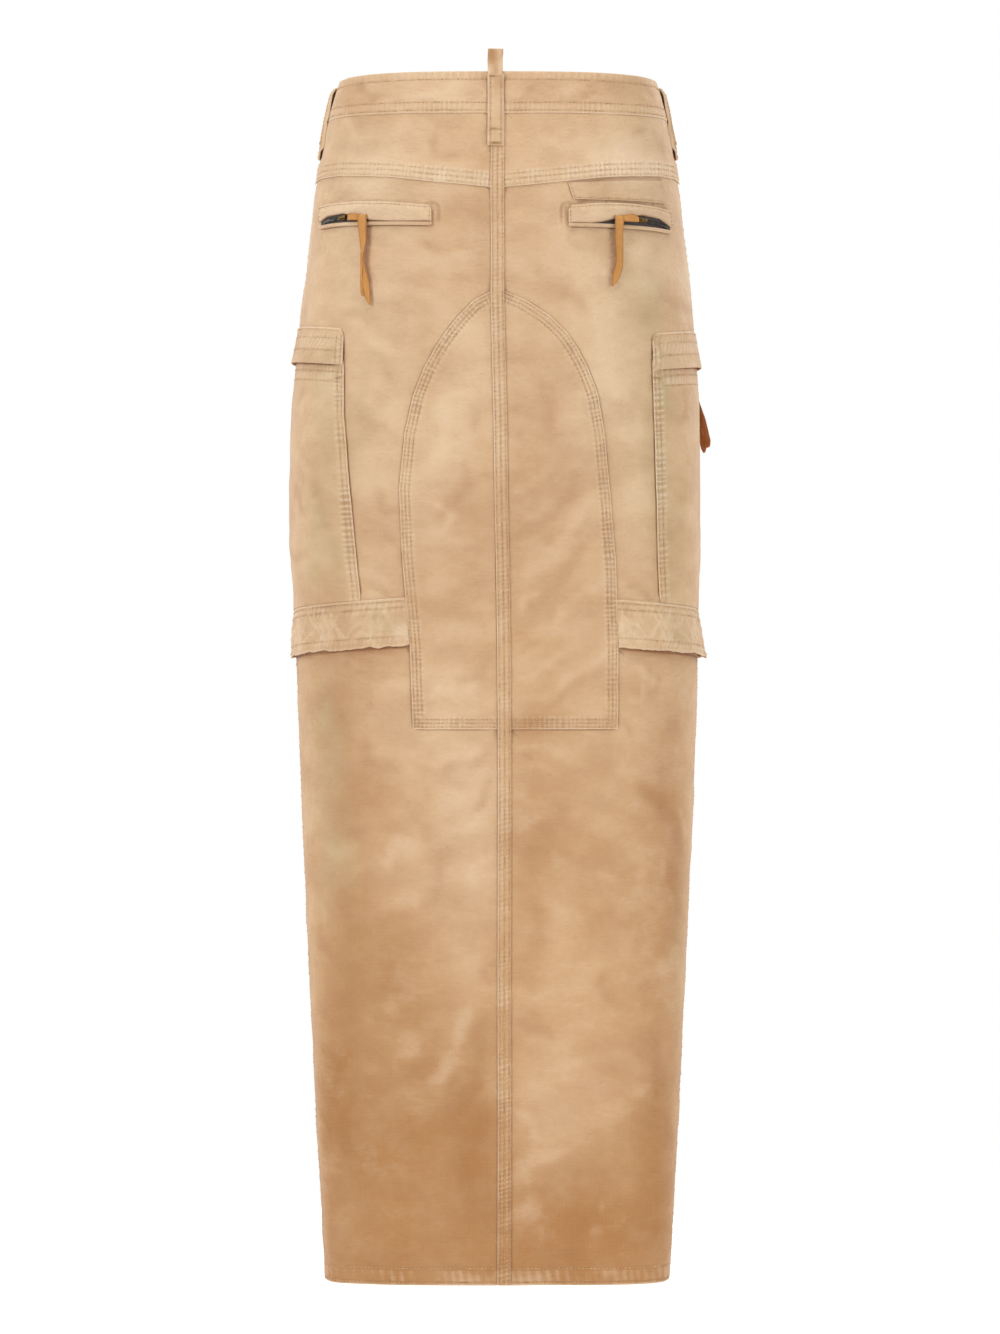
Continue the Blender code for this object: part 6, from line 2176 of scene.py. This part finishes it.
def strip(name, node, stations, thickness, key, slot, steps=6, ripple=0.0004):
    """A flat strip through the stations, its edges a little uneven."""
    table = np.array(stations, float)
    count = (len(stations) - 1) * steps + 1
    share = np.linspace(0, len(stations) - 1, count)
    rows = curve_through(table, share)
    way, drop, lift = rows[:, 0], rows[:, 1], rows[:, 2]
    along, down, out = facing(way, drop)
    middle = at(way, drop, lift)
    lean, turn = np.radians(rows[:, 4:5]), np.radians(rows[:, 5:6])
    across = along * np.cos(lean) + down * np.sin(lean)
    across = across * np.cos(turn) + out * np.sin(turn)
    path = np.gradient(middle, axis=0)
    thick = np.cross(across, path)
    thick /= np.linalg.norm(thick, axis=1, keepdims=True)
    wide = np.cross(path, thick)
    wide /= np.linalg.norm(wide, axis=1, keepdims=True)
    length = np.concatenate([[0], np.cumsum(np.linalg.norm(np.diff(middle, axis=0), axis=1))])
    columns = np.linspace(-1, 1, 9)
    uneven = 1 + 0.07 * np.stack([mottle(length / 0.006, k, 5) for k in (0.3, 2.7)], axis=1)
    half = rows[:, 3:4] * np.where(columns < 0, uneven[:, :1], uneven[:, 1:]) * columns
    cup = ripple * (1 - columns**2) + 0.3 * ripple * np.sin(length / 0.0045)[:, None] * columns
    sheet = middle[:, None, :] + wide[:, None, :] * half[..., None] + thick[:, None, :] * cup[..., None]
    face = thick[:, None, :] * (thickness / 2) * np.sqrt(1 - 0.75 * columns**6)[None, :, None]
    flat = np.stack(np.broadcast_arrays(half, -length[:, None]), axis=-1)
    edges = np.broadcast_to(np.abs(columns) ** 6, half.shape)
    blank = np.zeros(half.shape)
    marks = dict.fromkeys(MARKS, blank)
    marks["rows"], marks["edge"] = blank + 0.5, blank + 20
    if slot == "canvas":
        high = smooth((-drop - 0.004) / 0.012)[:, None]
        streaks = mottle(columns / 0.5, drop[:, None] / 0.009, 6)
        marks["ochre"] = np.clip(0.15 + 0.45 * high + 0.4 * edges + 0.35 * streaks, 0, 1.2)
        marks["pale"] = np.clip(0.45 - 0.25 * high - 0.5 * streaks, 0, 1)
        marks["worn"] = 0.35 * edges
    else:
        marks["worn"] = edges
    mesh = closed_shell(name, sheet + face, sheet - face, flat, marks)
    bm = bmesh.new()
    bm.from_mesh(mesh)
    bmesh.ops.recalc_face_normals(bm, faces=bm.faces[:])
    if bm.calc_volume(signed=True) < 0:
        bmesh.ops.reverse_faces(bm, faces=bm.faces[:])
    bm.to_mesh(mesh)
    bm.free()
    made = placed(name, mesh, MATERIALS[key], slot, (node,))
    return made, (round(float(2 * rows[:, 3].max()), 4), round(float(length[-1]), 4))


def curve_through(table, share):
    """Smooth curves through the rows of a table, read at fractions of its steps."""
    last = len(table) - 1
    i = np.clip(share.astype(int), 0, last - 1)
    total = 0
    for k, part in enumerate(spline_shares(share - i)):
        total = total + part[:, None] * table[np.clip(i + k - 1, 0, last)]
    return total


def make_strips():
    """The suede pulls of the zips, the suede strip at the side, and the hanger tab."""
    for side, parts in (("left", ZIP_PULL_LEFT), ("right", ZIP_PULL_RIGHT)):
        for part, stations in zip(("wrap", "tail", "end"), parts):
            name = f"zip_pull_{side}_{part}_suede"
            strip(name, f"zip_pull_{side}", stations, 0.0013, "suede", "suede", 5, 0.0006)
    strip("side_pull_suede", "side_pull", SIDE_PULL, SUEDE, "side_suede", "suede")
    strip("side_pull_tip_suede", "side_pull", SIDE_PULL_TIP, 0.0012, "side_suede", "suede")
    tab, flat = strip("hanger_tab_canvas", "hanger_tab", HANGER_TAB, THIN, "trim", "canvas", 5, 0.0001)


# Metal, modelled in edit mode


def start_form(add_primitive, **settings):
    """A primitive at the origin, open in edit mode, with nothing else selected."""
    bpy.ops.object.select_all(action="DESELECT")
    add_primitive(align="WORLD", location=(0, 0, 0), **settings)
    bpy.ops.object.mode_set(mode="EDIT")
    bpy.ops.mesh.select_mode(type="FACE")


def pick(test):
    """Selects only the faces that pass the test."""
    mesh = bpy.context.edit_object.data
    form = bmesh.from_edit_mesh(mesh)
    for face in form.faces:
        face.select_set(False)
    for face in form.faces:
        if test(face):
            face.select_set(True)
    bmesh.update_edit_mesh(mesh)


def end_form(bevel, segments=2):
    """Leaves edit mode, rounds the sharp edges and returns the points and faces."""
    bpy.ops.object.mode_set(mode="OBJECT")
    made = bpy.context.object
    rounded = made.modifiers.new("rounded", "BEVEL")
    rounded.width = bevel
    rounded.segments = segments
    rounded.limit_method = "ANGLE"
    bpy.ops.object.modifier_apply(modifier=rounded.name)
    points = np.array([vert.co[:] for vert in made.data.vertices])
    faces = [tuple(face.vertices) for face in made.data.polygons]
    bpy.data.objects.remove(made)
    return points, faces


def set_on_body(points, way, drop, lift, turn=0.0):
    """Points of a small form (along, down, out) set on the skirt and turned on its face."""
    along, down, out = facing(np.array([way]), np.array([drop]))
    middle = at(np.array([way]), np.array([drop]), np.array([lift]))[0]
    cos, sin = math.cos(turn), math.sin(turn)
    x = points[:, :1] * cos - points[:, 1:2] * sin
    y = points[:, :1] * sin + points[:, 1:2] * cos
    return middle + along[0] * x + down[0] * y + out[0] * points[:, 2:3]


def metal_piece(name, node, points, faces, key="brass"):
    """A finished metal piece of the points and faces given, each form outward facing."""
    mesh = bpy.data.meshes.new(name)
    mesh.from_pydata([tuple(point) for point in points], [], faces)
    form = bmesh.new()
    form.from_mesh(mesh)
    bmesh.ops.recalc_face_normals(form, faces=form.faces[:])
    form.to_mesh(mesh)
    form.free()
    mesh.shade_smooth()
    mesh.set_sharp_from_angle(angle=math.radians(SHARP_METAL))
    return placed(name, mesh, MATERIALS[key], "brass", (node,) if node else ())


def joined(forms):
    """Points and faces of several small forms as one."""
    points, faces, start = [], [], 0
    for part, corners in forms:
        points.append(part)
        faces += [tuple(k + start for k in face) for face in corners]
        start += len(part)
    return np.concatenate(points), faces


def slider_form():
    """A zip slider: a grooved body that narrows to one end, with a bridge for the pull."""
    start_form(bpy.ops.mesh.primitive_cube_add, size=1)
    bpy.ops.mesh.select_all(action="SELECT")
    bpy.ops.transform.resize(value=(0.0088, 0.0048, 0.0022))
    pick(lambda face: face.normal.x > 0.9)
    bpy.ops.transform.resize(value=(1, 0.62, 0.8))
    pick(lambda face: abs(face.normal.y) > 0.8)
    bpy.ops.mesh.inset(thickness=0.0006, depth=-0.0006)
    pick(lambda face: face.normal.z > 0.9)
    bpy.ops.mesh.inset(thickness=0.0007, depth=-0.0002)
    body = end_form(0.00025)
    ring = {"major_segments": 20, "minor_segments": 8, "major_radius": 0.0022, "minor_radius": 0.00045}
    start_form(bpy.ops.mesh.primitive_torus_add, **ring)
    bpy.ops.mesh.select_all(action="SELECT")
    bpy.ops.transform.rotate(value=math.pi / 2, orient_axis="X", center_override=(0, 0, 0))
    bpy.ops.transform.resize(value=(1.15, 1.6, 0.5))
    bpy.ops.transform.translate(value=(-0.0006, 0, 0.0008))
    bridge = end_form(0.00001, 1)
    return joined([body, bridge])


def button_form():
    """A shank button: a rolled rim round a sunk face with a raised boss."""
    start_form(bpy.ops.mesh.primitive_cylinder_add, vertices=48, radius=BUTTON_RADIUS, depth=BUTTON_THICK)
    pick(lambda face: face.normal.z > 0.9)
    bpy.ops.mesh.inset(thickness=0.0009, depth=0.0)
    bpy.ops.mesh.inset(thickness=0.0004, depth=-0.0006)
    bpy.ops.mesh.inset(thickness=0.0026, depth=0.0002)
    bpy.ops.mesh.inset(thickness=0.0003, depth=0.0003)
    bpy.ops.mesh.inset(thickness=0.0016, depth=0.0002)
    pick(lambda face: face.normal.z < -0.9)
    bpy.ops.transform.resize(value=(0.93, 0.93, 1))
    return end_form(0.0003, 3)


def tooth_form():
    """One zip tooth: a rounded block with a nib."""
    start_form(bpy.ops.mesh.primitive_cube_add, size=1)
    bpy.ops.mesh.select_all(action="SELECT")
    bpy.ops.transform.resize(value=(0.00095, 0.0026, 0.0011))
    pick(lambda face: face.normal.y < -0.9)
    bpy.ops.transform.resize(value=(1.35, 1, 0.8))
    return end_form(0.00018, 1)


def make_metal(sizes):
    """The zip sliders, the rows of zip teeth that show, and the waist button."""
    slider = slider_form()
    tooth = tooth_form()
    for side, sign in SIGN.items():
        way, drop = SLIDERS[side]
        turn = 0 if sign > 0 else math.pi
        points = set_on_body(slider[0], way, drop, ON_TAPE + 0.0012, turn)
        metal_piece(f"zip_slider_{side}_brass", f"zip_slider_{side}", points, slider[1])
        foot, piping = zip_line(side, 2), zip_line(side, 3)
        teeth = []
        last = ZIPS[side][-1][0] - 0.004
        for k, place in enumerate(np.arange(abs(way) + 0.0062, last, sizes.teeth / 2)):
            gap = float(piping(place) - foot(place))
            if gap < 0.0046:
                continue
            middle = float(foot(place)) + gap * 0.56
            flip = 1 if k % 2 else -1
            form = tooth[0] * np.array([1, flip, 1]) + np.array([0, 0.0006 * flip, 0])
            teeth.append((set_on_body(form, sign * place, middle, ON_BODY + THIN + 0.0005), tooth[1]))
        points, faces = joined(teeth)
        piece = metal_piece(f"zip_teeth_{side}_metal", None, points, faces, "teeth")
    button = button_form()
    drop = WAIST_SEAM[-1][1] / 2
    way = (half_way(drop) - side_way(drop) - SIDE_LAP) / BUTTON_PARTS - half_way(drop)
    points = set_on_body(button[0], float(way), drop, BAND_LIFT + 2 * SEAM_GAP + BUTTON_THICK / 2)
    metal_piece("waist_button_brass", "waist_button", points, button[1])


# The studio


def make_light(name, place, size, power):
    """A square area light aimed at the middle of the skirt."""
    data = bpy.data.lights.new(name, "AREA")
    data.shape = "SQUARE"
    data.size = size
    data.energy = power
    made = bpy.data.objects.new(name, data)
    made.location = place
    made.rotation_euler = (Vector((0, 0, EYE)) - Vector(place)).to_track_quat("-Z", "Y").to_euler()
    bpy.context.scene.collection.objects.link(made)


def make_studio():
    """A pale floor, soft light from all round and the camera."""
    bpy.ops.object.select_all(action="DESELECT")
    bpy.ops.mesh.primitive_plane_add(size=FLOOR_SIZE, location=(0, 0, FLOOR))
    floor = bpy.context.object
    floor.name = "floor"
    tree, shader = start_finish("white_studio_floor", "floor", Roughness=0.9)
    scuffs = noise(tree, add(tree, "ShaderNodeTexCoord").outputs["Object"], 2)
    shade = blend(tree, scuffs, (*linear("F7F7F6"), 1), (*linear("FBFBFA"), 1))
    tree.links.new(shade, shader.inputs["Base Color"])
    shader.inputs["Emission Color"].default_value = (1, 1, 1, 1)
    shader.inputs["Emission Strength"].default_value = FLOOR_GLOW
    floor.data.materials.append(MATERIALS["floor"])

    for name, place, size, power in LIGHTS:
        make_light(name, place, size, power)

    world = bpy.data.worlds.new("studio")
    world.use_nodes = True
    bpy.context.scene.world = world
    tree = world.node_tree
    seen = add(tree, "ShaderNodeLightPath").outputs["Is Camera Ray"]
    background = tree.nodes["Background"]
    background.inputs["Color"].default_value = (1, 1, 1, 1)
    tree.links.new(ranged(tree, seen, bottom=ROOM_LIGHT), background.inputs["Strength"])

    lens = bpy.data.cameras.new("camera")
    lens.lens = CAMERA_LENS
    lens.sensor_width = 36
    camera = bpy.data.objects.new("camera", lens)
    camera.location = (0, -CAMERA_AWAY, EYE)
    camera.rotation_euler = (math.pi / 2, 0, 0)
    bpy.context.scene.collection.objects.link(camera)
    bpy.context.scene.camera = camera
    bpy.context.scene.view_settings.view_transform = "Standard"


# What a user can change, and the steps of the making


class SkirtSizes(bpy.types.PropertyGroup):
    """Sizes of the skirt's finer parts"""

    stitch: FloatProperty(
        name="Stitch length", description="One stitch and its gap", default=0.0034, unit="LENGTH"
    )
    thread: FloatProperty(
        name="Thread radius", description="Half the thickness of the thread", default=0.00036, unit="LENGTH"
    )
    teeth: FloatProperty(
        name="Tooth pitch",
        description="From one zip tooth to the next on its side",
        default=0.0024,
        unit="LENGTH",
    )


class SkirtColours(bpy.types.PropertyGroup):
    """Colours of the washed cloth and the suede"""

    canvas: FloatVectorProperty(
        name="Canvas",
        description="The cloth where its dye is even",
        subtype="COLOR",
        default=linear("CEA579"),
    )
    pale: FloatVectorProperty(
        name="Washed out",
        description="The cloth where it has faded most",
        subtype="COLOR",
        default=linear("E8CBA9"),
    )
    ochre: FloatVectorProperty(
        name="Kept dye",
        description="The cloth where the dye has stayed",
        subtype="COLOR",
        default=linear("A97540"),
    )
    suede: FloatVectorProperty(
        name="Suede", description="The pulls of the zips", subtype="COLOR", default=linear("D19550")
    )


def on_both_sides(make):
    """Makes a piece on the wearer's left, then its fellow on the right."""
    for side, sign in SIGN.items():
        make(side, sign)


class SKIRT_OT_finishes(bpy.types.Operator):
    """Mixes the canvas, thread, suede and metal"""

    bl_idname = "skirt.finishes"
    bl_label = "Finishes"

    def execute(self, context):
        mix_finishes(context.scene.skirt_colours)
        return {"FINISHED"}


class SKIRT_OT_waistband(bpy.types.Operator):
    """Makes the waistband"""

    bl_idname = "skirt.waistband"
    bl_label = "Waistband"

    def execute(self, context):
        make_waistband()
        return {"FINISHED"}


class SKIRT_OT_yokes(bpy.types.Operator):
    """Makes the two halves of the back yoke"""

    bl_idname = "skirt.yokes"
    bl_label = "Yokes"

    def execute(self, context):
        on_both_sides(make_yoke)
        return {"FINISHED"}


class SKIRT_OT_panels(bpy.types.Operator):
    """Makes the back and front panels"""

    bl_idname = "skirt.panels"
    bl_label = "Panels"

    def execute(self, context):
        on_both_sides(make_back_panel)
        on_both_sides(make_front_panel)
        return {"FINISHED"}


class SKIRT_OT_seat(bpy.types.Operator):
    """Makes the arched seat panel and the band of the centre back seam"""

    bl_idname = "skirt.seat"
    bl_label = "Seat panel and back seam"

    def execute(self, context):
        on_both_sides(make_seat_panel)
        make_seam_band()
        return {"FINISHED"}


class SKIRT_OT_cargo_pockets(bpy.types.Operator):
    """Makes the cargo pockets, their flaps and the raw-edged bands"""

    bl_idname = "skirt.cargo_pockets"
    bl_label = "Cargo pockets"

    def execute(self, context):
        on_both_sides(make_cargo_pocket)
        on_both_sides(make_flap)
        on_both_sides(make_band)
        return {"FINISHED"}


class SKIRT_OT_zip_pockets(bpy.types.Operator):
    """Makes the welts, pipings and tapes of the zip pockets"""

    bl_idname = "skirt.zip_pockets"
    bl_label = "Zip pockets"

    def execute(self, context):
        on_both_sides(make_zip_pocket)
        return {"FINISHED"}


class SKIRT_OT_patch_and_fly(bpy.types.Operator):
    """Makes the plain patch and the fly placket"""

    bl_idname = "skirt.patch_and_fly"
    bl_label = "Patch and fly"

    def execute(self, context):
        make_small_pieces()
        return {"FINISHED"}


class SKIRT_OT_belt_loops(bpy.types.Operator):
    """Makes the five belt loops"""

    bl_idname = "skirt.belt_loops"
    bl_label = "Belt loops"

    def execute(self, context):
        for k, loop in enumerate(LOOPS):
            make_belt_loop(k, loop)
        return {"FINISHED"}


class SKIRT_OT_strips(bpy.types.Operator):
    """Makes the suede pulls, the side strip and the hanger tab"""

    bl_idname = "skirt.strips"
    bl_label = "Pulls and hanger tab"

    def execute(self, context):
        make_strips()
        return {"FINISHED"}


class SKIRT_OT_metal(bpy.types.Operator):
    """Makes the sliders, the zip teeth and the waist button"""

    bl_idname = "skirt.metal"
    bl_label = "Zips and button"

    def execute(self, context):
        make_metal(context.scene.skirt_sizes)
        return {"FINISHED"}


class SKIRT_OT_studio(bpy.types.Operator):
    """Makes the floor, the lights and the camera"""

    bl_idname = "skirt.studio"
    bl_label = "Studio"

    def execute(self, context):
        make_studio()
        return {"FINISHED"}


STEPS = (
    SKIRT_OT_finishes,
    SKIRT_OT_studio,
    SKIRT_OT_waistband,
    SKIRT_OT_yokes,
    SKIRT_OT_panels,
    SKIRT_OT_seat,
    SKIRT_OT_cargo_pockets,
    SKIRT_OT_zip_pockets,
    SKIRT_OT_patch_and_fly,
    SKIRT_OT_belt_loops,
    SKIRT_OT_strips,
    SKIRT_OT_metal,
)


class SKIRT_PT_making(bpy.types.Panel):
    """The skirt's sizes and colours, and its steps in order"""

    bl_idname = "SKIRT_PT_making"
    bl_label = "Cargo skirt"
    bl_space_type = "VIEW_3D"
    bl_region_type = "UI"
    bl_category = "Skirt"

    def draw(self, context):
        for group in (context.scene.skirt_sizes, context.scene.skirt_colours):
            for name in group.bl_rna.properties.keys():
                if name not in ("rna_type", "name"):
                    self.layout.prop(group, name)
        for step in STEPS:
            self.layout.operator(step.bl_idname)


CLASSES = (SkirtSizes, SkirtColours) + STEPS + (SKIRT_PT_making,)


def register():
    for cls in CLASSES:
        bpy.utils.register_class(cls)
    bpy.types.Scene.skirt_sizes = PointerProperty(type=SkirtSizes)
    bpy.types.Scene.skirt_colours = PointerProperty(type=SkirtColours)


def unregister():
    del bpy.types.Scene.skirt_colours
    del bpy.types.Scene.skirt_sizes
    for cls in reversed(CLASSES):
        bpy.utils.unregister_class(cls)


def main():
    register()
    for step in STEPS:
        group, name = step.bl_idname.split(".")
        getattr(getattr(bpy.ops, group), name)()


if __name__ == "__main__":
    main()
